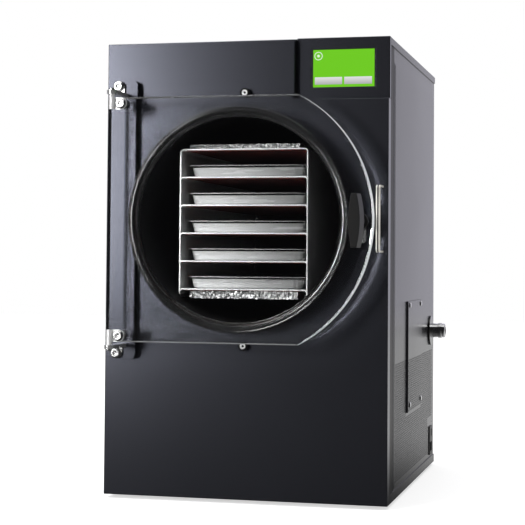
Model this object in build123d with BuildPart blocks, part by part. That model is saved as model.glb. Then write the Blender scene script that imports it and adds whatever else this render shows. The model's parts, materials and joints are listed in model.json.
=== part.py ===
"""Upright freeze dryer: a steel cabinet round a horizontal vacuum drum, with a clear hinged door.

Frame: origin on the floor under the middle of the cabinet, +X right, +Y to the back, +Z up.
The door is at the front, at -Y. All lengths are in millimetres.
"""

import os
from math import cos, radians, sin, sqrt

from build123d import *

os.makedirs("parts", exist_ok=True)

# ---------------------------------------------------------------- driving dimensions
# Cabinet
cab_w = 458.0
cab_d = 539.0
cab_h = 730.0
foot_h = 6.0
sheet = 1.5
seam = 0.8  # gap seen between neighbouring covers

# Front panel and display head
panel_drop = 3.0  # the front panel ends this far below the cabinet's top
panel_return = 22.0
bend_r = 1.4
display_w = 149.0  # notch in the upper right corner of the front panel
display_h = 97.5
display_inset = 12.0

# Vacuum drum, gasket and door
drum_set_in = 69.0  # from the cabinet's side to the drum's bore
drum_wall = 3.0
drum_nose = 28.0  # the drum's mouth stands this far in front of the panel
head_gap = 59.0  # from the cabinet's back to the edge of the drum's head
jacket_wall = 26.0
gasket_lip = 15.5  # the gasket's three radii beyond the drum's bore
gasket_neck = 11.0
gasket_mouth = 5.5
gasket_front = 42.0
door_t = 22.0
door_gap = 0.3
door_side_gap = 14.0  # from the cabinet's right side to the door's arc
door_left_gap = 24.0
door_over = 30.5  # the door's flat edges reach this far past the drum's bore
door_drop = 0.5

# Shelf rack and trays
rack_side_gap = 56.0  # from the drum's bore to the rack's sides, at the drum's middle
rack_end_gap = 9.5
rack_step = 0.5  # the rack begins this far behind the cabinet's front
shelf_count = 6
shelf_t = 2.0
shelf_turn_down = 9.0
rack_rise = 1.2  # the shelves sit this much above the drum's middle
foot_strip = 4.54  # height left for the strips under the rack's lower edges
tray_side_play = 7.5
tray_end_play = 1.5
tray_step = 12.0
tray_h = 19.0

# ---------------------------------------------------------------- derived reference planes
front_y = -cab_d / 2
back_y = cab_d / 2
side_x = cab_w / 2
panel_top = cab_h - panel_drop
skin_x = side_x - sheet  # outer face of what the flanges of cover and base pan lap over
frame_x = skin_x - sheet  # outer face of the rails behind the side panels
skin_y = back_y - sheet
frame_y = skin_y - sheet
display_x = side_x - display_w
display_z = cab_h - display_h
drum_r = side_x - drum_set_in
drum_outer_r = drum_r + drum_wall
jacket_r = drum_outer_r + jacket_wall
drum_z = display_z - jacket_r  # the drum's jacket just clears the display head
mouth_y = front_y - drum_nose
head_y = back_y - head_gap  # where the dished head begins
drum_len = head_y - mouth_y
gasket_lip_r = drum_r + gasket_lip
gasket_neck_r = drum_r + gasket_neck
gasket_mouth_r = drum_r + gasket_mouth
rack_w = 2 * (drum_r - rack_side_gap)
rack_y = front_y + rack_step
rack_len = head_y - rack_end_gap - rack_y
rack_half_h = sqrt(drum_r**2 - (rack_w / 2) ** 2) - foot_strip + rack_rise - shelf_turn_down + shelf_t / 2
shelf_pitch = 2 * rack_half_h / (shelf_count - 1)
tray_w = rack_w - 2 * tray_side_play
tray_front_y = front_y + tray_step
tray_len = rack_y + rack_len - tray_end_play - tray_front_y
door_arc_r = side_x - door_side_gap
door_half_h = drum_r + door_over
door_z = drum_z - door_drop
door_left = door_left_gap - side_x
gasket_y = front_y - gasket_front
door_back_y = gasket_y - door_gap
door_front_y = door_back_y - door_t
door_top = door_z + door_half_h
door_bottom = door_z - door_half_h


def facing_front(y):
    """Sketch plane at depth y: X to the right, Z up, extruding towards the front."""
    return Plane.XZ.offset(-y)


def facing_right(x):
    """Sketch plane at x: Y to the right, Z up, extruding towards +X."""
    return Plane.YZ.offset(x)


def level(z):
    """Horizontal sketch plane at height z."""
    return Plane.XY.offset(z)


def save(builder, name):
    """Label the finished piece and write its STEP file."""
    builder.part.label = name
    export_step(builder.part, f"parts/{name}.step")


# ---------------------------------------------------------------- feet and base pan
foot_r = 14.0
foot_set_in = 50.0  # from the cabinet's faces to the feet's centres
rail_h = 14.0  # height of the base pan's folded sides

foot_neck_r = 5.0
foot_collar_r = 7.0
foot_collar_t = 2.5
foot_bore_r = 2.5
neck_play = 0.05
floor_z = foot_h + sheet

with BuildPart() as rubber_feet:
    with BuildSketch(level(foot_h)):
        with GridLocations(cab_w - 2 * foot_set_in, cab_d - 2 * foot_set_in, 2, 2):
            Circle(foot_r)
    extrude(amount=-foot_h, taper=8)
    with BuildSketch(level(foot_h)):
        with GridLocations(cab_w - 2 * foot_set_in, cab_d - 2 * foot_set_in, 2, 2):
            Circle(foot_neck_r)
    extrude(amount=sheet)
    with BuildSketch(level(floor_z)):
        with GridLocations(cab_w - 2 * foot_set_in, cab_d - 2 * foot_set_in, 2, 2):
            Circle(foot_collar_r)
    extrude(amount=foot_collar_t)
    with BuildSketch(level(0)):
        with GridLocations(cab_w - 2 * foot_set_in, cab_d - 2 * foot_set_in, 2, 2):
            Circle(foot_bore_r)
    extrude(amount=floor_z + foot_collar_t, mode=Mode.SUBTRACT)
save(rubber_feet, "rubber_feet")

pan_front_y = front_y + panel_return + seam
pan_d = back_y - pan_front_y

with BuildPart() as base_pan:
    with BuildSketch(level(foot_h)):
        with Locations((0, pan_front_y)):
            Rectangle(cab_w, pan_d, align=(Align.CENTER, Align.MIN))
    extrude(amount=rail_h)
    with BuildSketch(level(floor_z)):
        with Locations((0, pan_front_y)):
            Rectangle(2 * skin_x, pan_d - sheet, align=(Align.CENTER, Align.MIN))
    extrude(amount=rail_h, mode=Mode.SUBTRACT)
    with BuildSketch(level(foot_h)):
        with GridLocations(cab_w - 2 * foot_set_in, cab_d - 2 * foot_set_in, 2, 2):
            Circle(foot_neck_r + neck_play)
    extrude(amount=sheet, mode=Mode.SUBTRACT)
save(base_pan, "base_pan")

# ---------------------------------------------------------------- front panel
bore_clearance = 3.0
panel_bore_r = drum_outer_r + bore_clearance
hinge_bar_side_gap = 14.0  # from the cabinet's left side to the bar under the hinges
hinge_bar_over = 31.0  # the bar reaches this far past the door's edges
hinge_bar_rise = 0.9
hinge_screw_set_in = 10.5
hinge_screw_end = 9.2
hinge_bar_x0 = hinge_bar_side_gap - side_x
hinge_bar_h = 2 * (door_half_h + hinge_bar_over)
hinge_bar_z = drum_z + hinge_bar_rise
hinge_screw_r = 5.0
hinge_screw_x = hinge_bar_x0 + hinge_screw_set_in
hinge_screw_dz = hinge_bar_h / 2 - hinge_screw_end
peg_rise = 1.5
peg_clear = 8.3
peg_z = drum_z + peg_rise
peg_dz = door_half_h + peg_clear
peg_x = 1.5
peg_shank_r = 2.5
strike_side_gap = 10.5
strike_rise = 1.5
strike_x = side_x - strike_side_gap
strike_z = drum_z + strike_rise
strike_h = 103.0
strike_w = 9.0
strike_t = 3.0
strike_out = 33.0
strike_screw_r = 2.0
hole_play = 0.15

with BuildSketch(facing_front(front_y + panel_return), mode=Mode.PRIVATE) as front_outline:
    with Locations((0, foot_h)):
        Rectangle(cab_w, panel_top - foot_h, align=(Align.CENTER, Align.MIN))
    with Locations((display_x, display_z)):
        Rectangle(cab_w, cab_h, align=(Align.MIN, Align.MIN), mode=Mode.SUBTRACT)

with BuildPart() as front_panel:
    extrude(front_outline.sketch, amount=panel_return)
    fillet(front_panel.edges().group_by(Axis.Y)[0], radius=bend_r)
    with BuildSketch(facing_front(front_y + panel_return)):
        offset(front_outline.sketch_local, amount=-sheet, kind=Kind.INTERSECTION)
    extrude(amount=panel_return - sheet, mode=Mode.SUBTRACT)
    with BuildSketch(facing_front(front_y + sheet)):
        with Locations((0, drum_z)):
            Circle(panel_bore_r)
        with Locations((hinge_screw_x, hinge_bar_z)):
            with GridLocations(0, 2 * hinge_screw_dz, 1, 2):
                Circle(hinge_screw_r + hole_play)
        with Locations((peg_x, peg_z + peg_dz), (peg_x, peg_z - peg_dz)):
            Circle(peg_shank_r + hole_play)
        with Locations((strike_x, strike_z)):
            with GridLocations(0, strike_h - strike_t, 1, 2):
                Circle(strike_screw_r + hole_play)
    extrude(amount=sheet, mode=Mode.SUBTRACT)
save(front_panel, "front_panel")

# ---------------------------------------------------------------- display head
housing_depth = panel_return - display_inset
housing_w = display_w - seam
housing_h = display_h - seam
housing_cx = side_x - housing_w / 2
housing_cz = cab_h - housing_h / 2
screen_w = 102.0
screen_h = 59.0
screen_recess = 0.8
screen_t = 5.0
screen_play = 0.2
display_y = front_y + display_inset

with BuildPart() as display_housing:
    with BuildSketch(facing_front(front_y + panel_return)):
        with Locations((housing_cx, housing_cz)):
            Rectangle(housing_w, housing_h)
    extrude(amount=housing_depth)
    fillet(display_housing.edges().group_by(Axis.Y)[0], radius=bend_r)
    with BuildSketch(facing_front(front_y + panel_return)):
        with Locations((housing_cx, housing_cz)):
            Rectangle(housing_w - 2 * sheet, housing_h - 2 * sheet)
    extrude(amount=housing_depth - sheet, mode=Mode.SUBTRACT)
    with BuildSketch(facing_front(display_y + sheet)):
        with Locations((housing_cx, housing_cz)):
            Rectangle(screen_w, screen_h)
    extrude(amount=sheet, mode=Mode.SUBTRACT)
save(display_housing, "display_housing")

screen_rim = 5.0
with BuildPart() as touchscreen:
    with BuildSketch(facing_front(display_y + sheet)):
        with Locations((housing_cx, housing_cz)):
            Rectangle(screen_w + 2 * screen_rim, screen_h + 2 * screen_rim)
    extrude(amount=-screen_t)
    with BuildSketch(facing_front(display_y + sheet)):
        with Locations((housing_cx, housing_cz)):
            Rectangle(screen_w - 2 * screen_play, screen_h - 2 * screen_play)
    extrude(amount=sheet - screen_recess)
save(touchscreen, "touchscreen")

# ---------------------------------------------------------------- top cover
lid_return = 12.0
with BuildPart() as top_cover:
    with BuildSketch(level(cab_h - lid_return)):
        with Locations((0, pan_front_y)):
            Rectangle(cab_w, pan_d, align=(Align.CENTER, Align.MIN))
    extrude(amount=lid_return)
    outer_top = top_cover.edges().group_by(Axis.Z)[-1]
    fillet(outer_top.filter_by(Axis.Y) + outer_top.sort_by(Axis.Y)[-1:], radius=bend_r)
    with BuildSketch(level(cab_h - lid_return)):
        with Locations((0, pan_front_y)):
            Rectangle(2 * skin_x, pan_d - sheet, align=(Align.CENTER, Align.MIN))
    extrude(amount=lid_return - sheet, mode=Mode.SUBTRACT)
save(top_cover, "top_cover")

# ---------------------------------------------------------------- inner frame
post_w = 26.5
rail_w = 20.0
bar_t = 2.0
post_front_y = pan_front_y
deck_drop = 28.5  # from the drum's jacket down to the deck
deck_z = drum_z - jacket_r - deck_drop
under_lid_z = cab_h - sheet

with BuildPart() as cabinet_frame:
    for side in (-1, 1):
        # front post: an angle whose outer wall shows in the seam behind the front panel
        with BuildSketch(level(floor_z)):
            with Locations((side * frame_x, post_front_y)):
                Rectangle(bar_t, post_w, align=(Align.MAX if side > 0 else Align.MIN, Align.MIN))
                Rectangle(post_w, bar_t, align=(Align.MAX if side > 0 else Align.MIN, Align.MIN))
        extrude(amount=under_lid_z - floor_z)
        # rear post
        with BuildSketch(level(floor_z)):
            with Locations((side * frame_x, frame_y)):
                Rectangle(bar_t, post_w, align=(Align.MAX if side > 0 else Align.MIN, Align.MAX))
                Rectangle(post_w, bar_t, align=(Align.MAX if side > 0 else Align.MIN, Align.MAX))
        extrude(amount=under_lid_z - floor_z)
        # side rails under the deck and under the top cover
        for rail_top in (deck_z, under_lid_z):
            with BuildSketch(Plane.XZ.offset(-(post_front_y + bar_t))):
                with Locations((side * frame_x, rail_top)):
                    Rectangle(bar_t, rail_w, align=(Align.MAX if side > 0 else Align.MIN, Align.MAX))
                    Rectangle(rail_w, bar_t, align=(Align.MAX if side > 0 else Align.MIN, Align.MAX))
            extrude(amount=-(frame_y - post_front_y - bar_t))
    # rear cross rails join the two sides
    for rail_top in (deck_z, under_lid_z):
        with BuildSketch(facing_front(frame_y)):
            with Locations((0, rail_top)):
                Rectangle(2 * frame_x, rail_w, align=(Align.CENTER, Align.MAX))
        extrude(amount=bar_t)
save(cabinet_frame, "cabinet_frame")

# ---------------------------------------------------------------- side panels
panel_step = 33.0
panel_front_y = front_y + panel_step
front_border = 27.0
panel_foot_gap = 1.0
panel_foot_z = floor_z + panel_foot_gap
border = 23.0  # flat border round the raised field, wider along the front
bevel = 5.0
field_y0 = panel_front_y + front_border
field_y1 = skin_y - border
field_z0 = foot_h + rail_h + panel_foot_gap
field_z1 = cab_h - lid_return - border
port_back_gap = 59.5
port_rise = 28.0
port_y = back_y - port_back_gap
port_z = deck_z + port_rise
port_hole_r = 19.0
inlet_back_gap = 56.0
inlet_y = back_y - inlet_back_gap
inlet_z = 52.0
inlet_w = 27.5
inlet_h = 48.5
inlet_flange = 2.0
cover_y = 4.0
cover_w = 164.0
cover_drop = 96.0
cover_z0 = deck_z - cover_drop
cover_h = 184.0
cover_screw_dy = 63.0
cover_screw_low = 12.0
cover_screw_high = 6.5
cover_screw_r = 2.0
hatch_inset = 24.0
vent_drop = 7.0
vent_top = deck_z - vent_drop
vent_cell = 28.0
vent_hole_r = 5.6
vent_margin = 9.0


def vent_points(y0, y1, z0, z1, keep_clear=()):
    """Staggered hole centres inside a rectangle, leaving out those in the given boxes."""
    points = []
    step = vent_cell / 2
    rows = int((z1 - z0) // step)
    columns = int((y1 - y0) // step)
    for row in range(rows + 1):
        for column in range(row % 2, columns + 1, 2):
            y = (y0 + y1) / 2 + (column - columns / 2) * step
            z = z1 - row * step
            inside = [a < y < b and c < z < d for a, b, c, d in keep_clear]
            if not any(inside):
                points.append((y, z))
    return points


def joggled_sheet(outer_x, inward):
    """Side panel blank: a flat border with a raised field; inward is -1 on the right, +1 on the left."""
    with BuildPart() as blank:
        with BuildSketch(facing_right(outer_x)):
            with Locations((panel_front_y, panel_foot_z)):
                Rectangle(skin_y - panel_front_y, under_lid_z - panel_foot_z, align=(Align.MIN, Align.MIN))
        extrude(amount=inward * sheet)
        for start_x, mode in ((outer_x, Mode.ADD), (outer_x + inward * sheet, Mode.SUBTRACT)):
            with BuildSketch(facing_right(start_x)):
                with Locations(((field_y0 + field_y1) / 2, (field_z0 + field_z1) / 2)):
                    Rectangle(field_y1 - field_y0, field_z1 - field_z0)
            with BuildSketch(facing_right(start_x - inward * sheet)):
                with Locations(((field_y0 + field_y1) / 2, (field_z0 + field_z1) / 2)):
                    Rectangle(field_y1 - field_y0 - 2 * bevel, field_z1 - field_z0 - 2 * bevel)
            loft(mode=mode)
    return blank.part


flat_y0 = field_y0 + bevel + vent_margin
flat_y1 = field_y1 - bevel - vent_margin
vent_z0 = field_z0 + bevel + vent_margin
cover_zone = (
    cover_y - cover_w / 2 - vent_margin,
    cover_y + cover_w / 2 + vent_margin,
    cover_z0 - vent_margin,
    cab_h,
)
inlet_zone = (
    inlet_y - inlet_w / 2 - 2 * vent_margin,
    inlet_y + inlet_w / 2 + 2 * vent_margin,
    0,
    inlet_z + inlet_h / 2 + 2 * vent_margin,
)


def cover_screw_points():
    """Centres of the four screws that hold the access cover."""
    rows = (cover_z0 + cover_screw_low, cover_z0 + cover_h - cover_screw_high)
    return [(cover_y + side * cover_screw_dy, z) for side in (-1, 1) for z in rows]


right_blank = joggled_sheet(skin_x, -1)
with BuildPart() as right_side_panel:
    add(right_blank)
    with BuildSketch(facing_right(skin_x - 2 * sheet)):
        with Locations(*vent_points(flat_y0, flat_y1, vent_z0, vent_top, (cover_zone, inlet_zone))):
            RegularPolygon(vent_hole_r, 4)
        with Locations((port_y, port_z)):
            Circle(port_hole_r)
        with Locations((inlet_y, inlet_z)):
            Rectangle(inlet_w + 2 * hole_play, inlet_h + 2 * hole_play)
        with Locations((cover_y, cover_z0 + cover_h / 2)):
            Rectangle(cover_w - 2 * hatch_inset, cover_h - 2 * hatch_inset)
        with Locations(*cover_screw_points()):
            Circle(cover_screw_r + hole_play)
    extrude(amount=4 * sheet, mode=Mode.SUBTRACT)
save(right_side_panel, "right_side_panel")

drain_y = 60.0
drain_z = port_z
drain_hole_r = 11.0
louvre_w = 52.0
louvre_h = 5.0
louvre_pitch = 15.0
side_louvre_margin_y = 45.0
side_louvre_margin_z = 20.0
back_louvre_margin = 35.0
side_louvre_gap = 26.0
back_louvre_gap = 30.0
back_louvre_drop = 60.0  # from the cabinet's top to the upper group

side_columns = 1 + int((field_y1 - field_y0 - 2 * side_louvre_margin_y) // (louvre_w + side_louvre_gap))
side_rows = 1 + int((vent_top - field_z0 - 2 * side_louvre_margin_z) // louvre_pitch)
left_blank = joggled_sheet(-skin_x, 1)
with BuildPart() as left_side_panel:
    add(left_blank)
    with BuildSketch(facing_right(-side_x - sheet)):
        with Locations((0, (field_z0 + vent_top) / 2)):
            with GridLocations(louvre_w + side_louvre_gap, louvre_pitch, side_columns, side_rows):
                Rectangle(louvre_w, louvre_h)
        with Locations((drain_y, drain_z)):
            Circle(drain_hole_r)
    extrude(amount=4 * sheet, mode=Mode.SUBTRACT)
save(left_side_panel, "left_side_panel")

# ---------------------------------------------------------------- back panel
back_rows = 1 + int((deck_z - floor_z - 2 * back_louvre_margin) // louvre_pitch)
with BuildPart() as back_panel:
    with BuildSketch(facing_front(skin_y)):
        with Locations((0, panel_foot_z)):
            Rectangle(2 * frame_x, under_lid_z - panel_foot_z, align=(Align.CENTER, Align.MIN))
        with Locations((0, (floor_z + deck_z) / 2)):
            with GridLocations(louvre_w + back_louvre_gap, louvre_pitch, 4, back_rows):
                Rectangle(louvre_w, louvre_h, mode=Mode.SUBTRACT)
        with Locations((0, cab_h - back_louvre_drop)):
            with GridLocations(louvre_w + back_louvre_gap, louvre_pitch, 4, 3):
                Rectangle(louvre_w, louvre_h, mode=Mode.SUBTRACT)
    extrude(amount=sheet)
save(back_panel, "back_panel")

# ---------------------------------------------------------------- vacuum drum and its surroundings
head_depth = 22.0
dish_edge = 65.0  # width of the head's cone
dish_flat_r = drum_r - dish_edge
stub_r = 10.5
stub_bore_r = 8.0
stub_set_in = 30.0
stub_back_gap = 104.5
stub_rise = 50.0
stub_x = drum_r - stub_set_in
stub_y = back_y - stub_back_gap
stub_end_z = deck_z + stub_rise
stub_len = 97.5
jacket_play = 0.1
head_play = 1.5
jacket_step = 6.0
jacket_front_y = front_y + jacket_step
jacket_back_wall = 8.0
jacket_back_y = head_y + head_depth + drum_wall + jacket_back_wall
stub_clearance = 1.0
drum_axis = Axis((0, 0, drum_z), (0, 1, 0))


def stub_centres():
    """Plan position of the two pipe stubs under the drum: vacuum line, then drain."""
    return [(stub_x, stub_y), (-stub_x, drain_y)]


with BuildPart() as vacuum_chamber:
    with BuildSketch(facing_front(head_y)):
        with Locations((0, drum_z)):
            Circle(drum_outer_r)
    extrude(amount=drum_len)
    # the stubs reach up through the drum's wall, then everything inside the bore is cleared
    with BuildSketch(level(stub_end_z)):
        with Locations(*stub_centres()):
            Circle(stub_r)
    extrude(amount=stub_len)
    with BuildSketch(facing_front(head_y)):
        with Locations((0, drum_z)):
            Circle(drum_r)
    extrude(amount=drum_len, mode=Mode.SUBTRACT)
    with BuildSketch(level(stub_end_z)):
        with Locations(*stub_centres()):
            Circle(stub_bore_r)
    extrude(amount=stub_len, mode=Mode.SUBTRACT)
save(vacuum_chamber, "vacuum_chamber")

with BuildPart() as chamber_head:
    with BuildSketch(Plane.YZ):
        with BuildLine():
            Polyline(
                (head_y, drum_z + drum_r),
                (head_y + head_depth, drum_z + dish_flat_r),
                (head_y + head_depth, drum_z),
                (head_y + head_depth + drum_wall, drum_z),
                (head_y + head_depth + drum_wall, drum_z + dish_flat_r),
                (head_y + drum_wall, drum_z + drum_outer_r),
                (head_y, drum_z + drum_outer_r),
                close=True,
            )
        make_face()
    revolve(axis=drum_axis)
save(chamber_head, "chamber_head")

with BuildPart() as insulation_jacket:
    with BuildSketch(Plane.YZ):
        with BuildLine():
            Polyline(
                (jacket_front_y, drum_z + drum_outer_r + jacket_play),
                (jacket_front_y, drum_z + jacket_r),
                (jacket_back_y, drum_z + jacket_r),
                (jacket_back_y, drum_z),
                (head_y + head_depth + drum_wall + head_play, drum_z),
                (head_y + head_depth + drum_wall + head_play, drum_z + drum_outer_r + jacket_play),
                close=True,
            )
        make_face()
    revolve(axis=drum_axis)
    with BuildSketch(level(drum_z - jacket_r)):
        with Locations(*stub_centres()):
            Circle(stub_r + stub_clearance)
    extrude(amount=jacket_r, mode=Mode.SUBTRACT)
save(insulation_jacket, "insulation_jacket")

deck_hole_y = 100.0
deck_hole_w = 150.0
deck_hole_d = 90.0
with BuildPart() as chamber_deck:
    with BuildSketch(level(deck_z)):
        with Locations((0, post_front_y + bar_t)):
            deck_w = 2 * (frame_x - bar_t)
            deck_d = frame_y - bar_t - post_front_y - bar_t
            Rectangle(deck_w, deck_d, align=(Align.CENTER, Align.MIN))
        with Locations((0, deck_hole_y)):
            Rectangle(deck_hole_w, deck_hole_d, mode=Mode.SUBTRACT)  # wiring and pipes rise through here
    extrude(amount=sheet)
save(chamber_deck, "chamber_deck")

saddle_w = 250.0
saddle_h = 92.0
saddle_t = 6.0
saddle_foot = 24.0
saddle_play = 0.1
saddle_front_gap = 104.5
saddle_back_gap = 119.5
saddle_ys = (front_y + saddle_front_gap, back_y - saddle_back_gap)
saddle_z = deck_z + sheet
with BuildPart() as chamber_saddles:
    for saddle_y in saddle_ys:
        with BuildSketch(facing_front(saddle_y)):
            with Locations((0, saddle_z)):
                Rectangle(saddle_w, saddle_h, align=(Align.CENTER, Align.MIN))
            with Locations((0, drum_z)):
                Circle(jacket_r + saddle_play, mode=Mode.SUBTRACT)
        extrude(amount=saddle_t)
        with BuildSketch(level(saddle_z)):
            with Locations((0, saddle_y - saddle_t)):
                Rectangle(saddle_w, saddle_foot, align=(Align.CENTER, Align.MAX))
        extrude(amount=2 * sheet)
save(chamber_saddles, "chamber_saddles")

# ---------------------------------------------------------------- door gasket
gasket_overlap = 2.0  # the gasket's inner edge covers this much of the drum's rim
gasket_bevel = 2.5
lip_edge = 1.0
lip_t = 12.0
lip_back = 3.0
with BuildPart() as door_gasket:
    with BuildSketch(Plane.YZ):
        with BuildLine():
            Polyline(
                (mouth_y - gasket_overlap, drum_z + drum_r),
                (mouth_y - gasket_overlap, drum_z + gasket_mouth_r),
                (gasket_y + gasket_bevel, drum_z + gasket_mouth_r),
                (gasket_y, drum_z + gasket_mouth_r + gasket_bevel),
                (gasket_y, drum_z + gasket_lip_r - lip_edge),
                (gasket_y + lip_edge, drum_z + gasket_lip_r),
                (gasket_y + lip_t, drum_z + gasket_lip_r),
                (gasket_y + lip_t + lip_back, drum_z + gasket_neck_r),
                (front_y, drum_z + gasket_neck_r),
                (front_y, drum_z + drum_outer_r + jacket_play),
                (mouth_y, drum_z + drum_outer_r + jacket_play),
                (mouth_y, drum_z + drum_r),
                close=True,
            )
        make_face()
    revolve(axis=drum_axis)
save(door_gasket, "door_gasket")

# ---------------------------------------------------------------- shelf rack
shelf_z0 = drum_z - (shelf_count - 1) * shelf_pitch / 2 + rack_rise
shelf_zs = [shelf_z0 + index * shelf_pitch for index in range(shelf_count)]
wall_x = rack_w / 2
shelf_bend_r = 6.0
rack_top_z = shelf_zs[-1] + shelf_t / 2
rack_foot_z = shelf_z0 + shelf_t / 2 - shelf_turn_down


def bent_sheet(drop):
    """Shelf profile: a flat sheet with both edges bent down by drop; its upper face is at 0."""
    with BuildSketch(mode=Mode.PRIVATE) as hollow:
        with Locations((0, -shelf_t)):
            Rectangle(rack_w - 2 * shelf_t, drop, align=(Align.CENTER, Align.MAX))
        fillet(hollow.vertices().group_by(Axis.Y)[-1], radius=shelf_bend_r - shelf_t)
    with BuildSketch(mode=Mode.PRIVATE) as profile:
        Rectangle(rack_w, drop, align=(Align.CENTER, Align.MAX))
        fillet(profile.vertices().group_by(Axis.Y)[-1], radius=shelf_bend_r)
        add(hollow.sketch, mode=Mode.SUBTRACT)
    return profile.sketch


outer_wrap = bent_sheet(rack_top_z - rack_foot_z)
inner_shelf = bent_sheet(shelf_turn_down)
with BuildPart() as shelf_rack:
    with BuildSketch(facing_front(rack_y + rack_len)):
        with Locations((0, rack_top_z)):
            add(outer_wrap)
        for z in shelf_zs[:-1]:
            with Locations((0, z + shelf_t / 2)):
                add(inner_shelf)
    extrude(amount=rack_len)
save(shelf_rack, "shelf_rack")

strip_w = 7.0
strip_play = 0.3
strip_short = 10.0
strip_bottom_z = drum_z - sqrt(drum_r**2 - wall_x**2) + strip_play
with BuildPart() as rack_feet:
    with BuildSketch(facing_front(rack_y + rack_len)):
        for side in (-1, 1):
            with Locations((side * wall_x, strip_bottom_z)):
                Rectangle(
                    strip_w,
                    rack_foot_z - strip_bottom_z,
                    align=(Align.MAX if side > 0 else Align.MIN, Align.MIN),
                )
    extrude(amount=rack_len - strip_short)
save(rack_feet, "rack_feet")

mat_side_gap = 10.0
mat_x = wall_x - mat_side_gap
mat_t = 1.0
mat_back = 8.0
mat_front = 3.0
with BuildPart() as heater_mats:
    with BuildSketch(facing_front(rack_y + rack_len - mat_back)):
        for z in shelf_zs:
            with Locations((0, z - shelf_t / 2)):
                Rectangle(2 * mat_x, mat_t, align=(Align.CENTER, Align.MAX))
    extrude(amount=rack_len - mat_back - mat_front)
save(heater_mats, "heater_mats")

pad_t = 8.0
pad_corner_r = 3.0
pad_top_side_gap = 14.0
pad_bottom_side_gap = 16.0
pad_top_x = wall_x - pad_top_side_gap
pad_bottom_x = wall_x - pad_bottom_side_gap
pad_bottom_t = 13.0
pad_front = 5.0
with BuildPart() as foil_pad_top:
    with BuildSketch(facing_front(rack_y + rack_len - mat_back)):
        with Locations((0, rack_top_z + pad_t / 2)):
            RectangleRounded(2 * pad_top_x, pad_t, pad_corner_r)
    extrude(amount=rack_len - mat_back - pad_front)
save(foil_pad_top, "foil_pad_top")

with BuildPart() as foil_pad_bottom:
    with BuildSketch(facing_front(rack_y + rack_len - mat_back)):
        with Locations((0, shelf_z0 - shelf_t / 2 - mat_t - pad_bottom_t / 2)):
            RectangleRounded(2 * pad_bottom_x, pad_bottom_t, pad_corner_r)
    extrude(amount=rack_len - mat_back - pad_front)
save(foil_pad_bottom, "foil_pad_bottom")

# ---------------------------------------------------------------- trays
tray_wall = 1.0
tray_corner_r = 12.0
tray_rim = 4.5
tray_taper = 12.5

for index in range(shelf_count - 1):
    tray_z = shelf_zs[index] + shelf_t / 2
    tray_centre = (0, tray_front_y + tray_len / 2)
    rim_under_z = tray_z + tray_h - tray_wall
    with BuildPart() as tray:
        with BuildSketch(level(rim_under_z)):
            with Locations(tray_centre):
                RectangleRounded(tray_w - 2 * tray_rim, tray_len - 2 * tray_rim, tray_corner_r)
        extrude(amount=-(tray_h - tray_wall), taper=tray_taper)
        with BuildSketch(level(rim_under_z)):
            with Locations(tray_centre):
                RectangleRounded(tray_w, tray_len, tray_corner_r + tray_rim)
        extrude(amount=tray_wall)
        cavity_inset = tray_rim + tray_wall
        with BuildSketch(level(tray_z + tray_h)):
            with Locations(tray_centre):
                RectangleRounded(
                    tray_w - 2 * cavity_inset, tray_len - 2 * cavity_inset, tray_corner_r - tray_wall
                )
        extrude(amount=-(tray_h - tray_wall), taper=tray_taper, mode=Mode.SUBTRACT)
    save(tray, f"tray_{index + 1}")

# ---------------------------------------------------------------- door
pin_set_in = 8.0
pin_x = door_left + pin_set_in
pin_out = 4.8  # the hinge pins' axis stands this far in front of the door's face
pin_y = door_front_y - pin_out
latch_set_in = 19.0
latch_drop = 3.5
latch_x = door_arc_r - latch_set_in
latch_z = drum_z - latch_drop
leaf_screw_set_in = 22.0
leaf_screw_edge = 9.5
leaf_screw_x = door_left + leaf_screw_set_in
leaf_screw_dz = door_half_h - leaf_screw_edge
leaf_shank_r = 4.0
bushing_r = 8.5
door_edge = 1.0

with BuildPart() as door_panel:
    with BuildSketch(facing_front(door_back_y)):
        with Locations((0, door_z)):
            Circle(door_arc_r)
            Rectangle(-door_left, 2 * door_arc_r, align=(Align.MAX, Align.CENTER))
        with Locations((door_left, door_z)):
            Rectangle(
                door_arc_r - door_left,
                2 * door_half_h,
                align=(Align.MIN, Align.CENTER),
                mode=Mode.INTERSECT,
            )
    extrude(amount=door_t)
    rims = door_panel.edges().group_by(Axis.Y)
    chamfer(rims[0] + rims[-1], length=door_edge)
    with BuildSketch(facing_front(door_back_y)):
        with Locations((latch_x, latch_z)):
            Circle(bushing_r + hole_play)
        with Locations((leaf_screw_x, door_z + leaf_screw_dz), (leaf_screw_x, door_z - leaf_screw_dz)):
            Circle(leaf_shank_r + hole_play)
    extrude(amount=door_t, mode=Mode.SUBTRACT)
save(door_panel, "door_panel")

# ---------------------------------------------------------------- hinges
hinge_bar_w = 41.0
hinge_bar_t = 13.0
hinge_bar_corner_r = 8.0

with BuildPart() as hinge_bar:
    with BuildSketch(facing_front(front_y)):
        with Locations((hinge_bar_x0 + hinge_bar_w / 2, hinge_bar_z)):
            RectangleRounded(hinge_bar_w, hinge_bar_h, hinge_bar_corner_r)
        with Locations((hinge_screw_x, hinge_bar_z)):
            with GridLocations(0, 2 * hinge_screw_dz, 1, 2):
                Circle(hinge_screw_r + hole_play, mode=Mode.SUBTRACT)
    extrude(amount=hinge_bar_t)
save(hinge_bar, "hinge_bar")

arm_gap = 5.0  # from the door's top or bottom edge to the fixed arm
arm_t = 6.0
arm_half_w = 8.0
leg_t = 4.0
leg_w = 12.0
leg_end_r = 8.3
pin_r = 2.5
running = 0.05
bar_front_y = front_y - hinge_bar_t
leg_front_y = bar_front_y - leg_t

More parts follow.
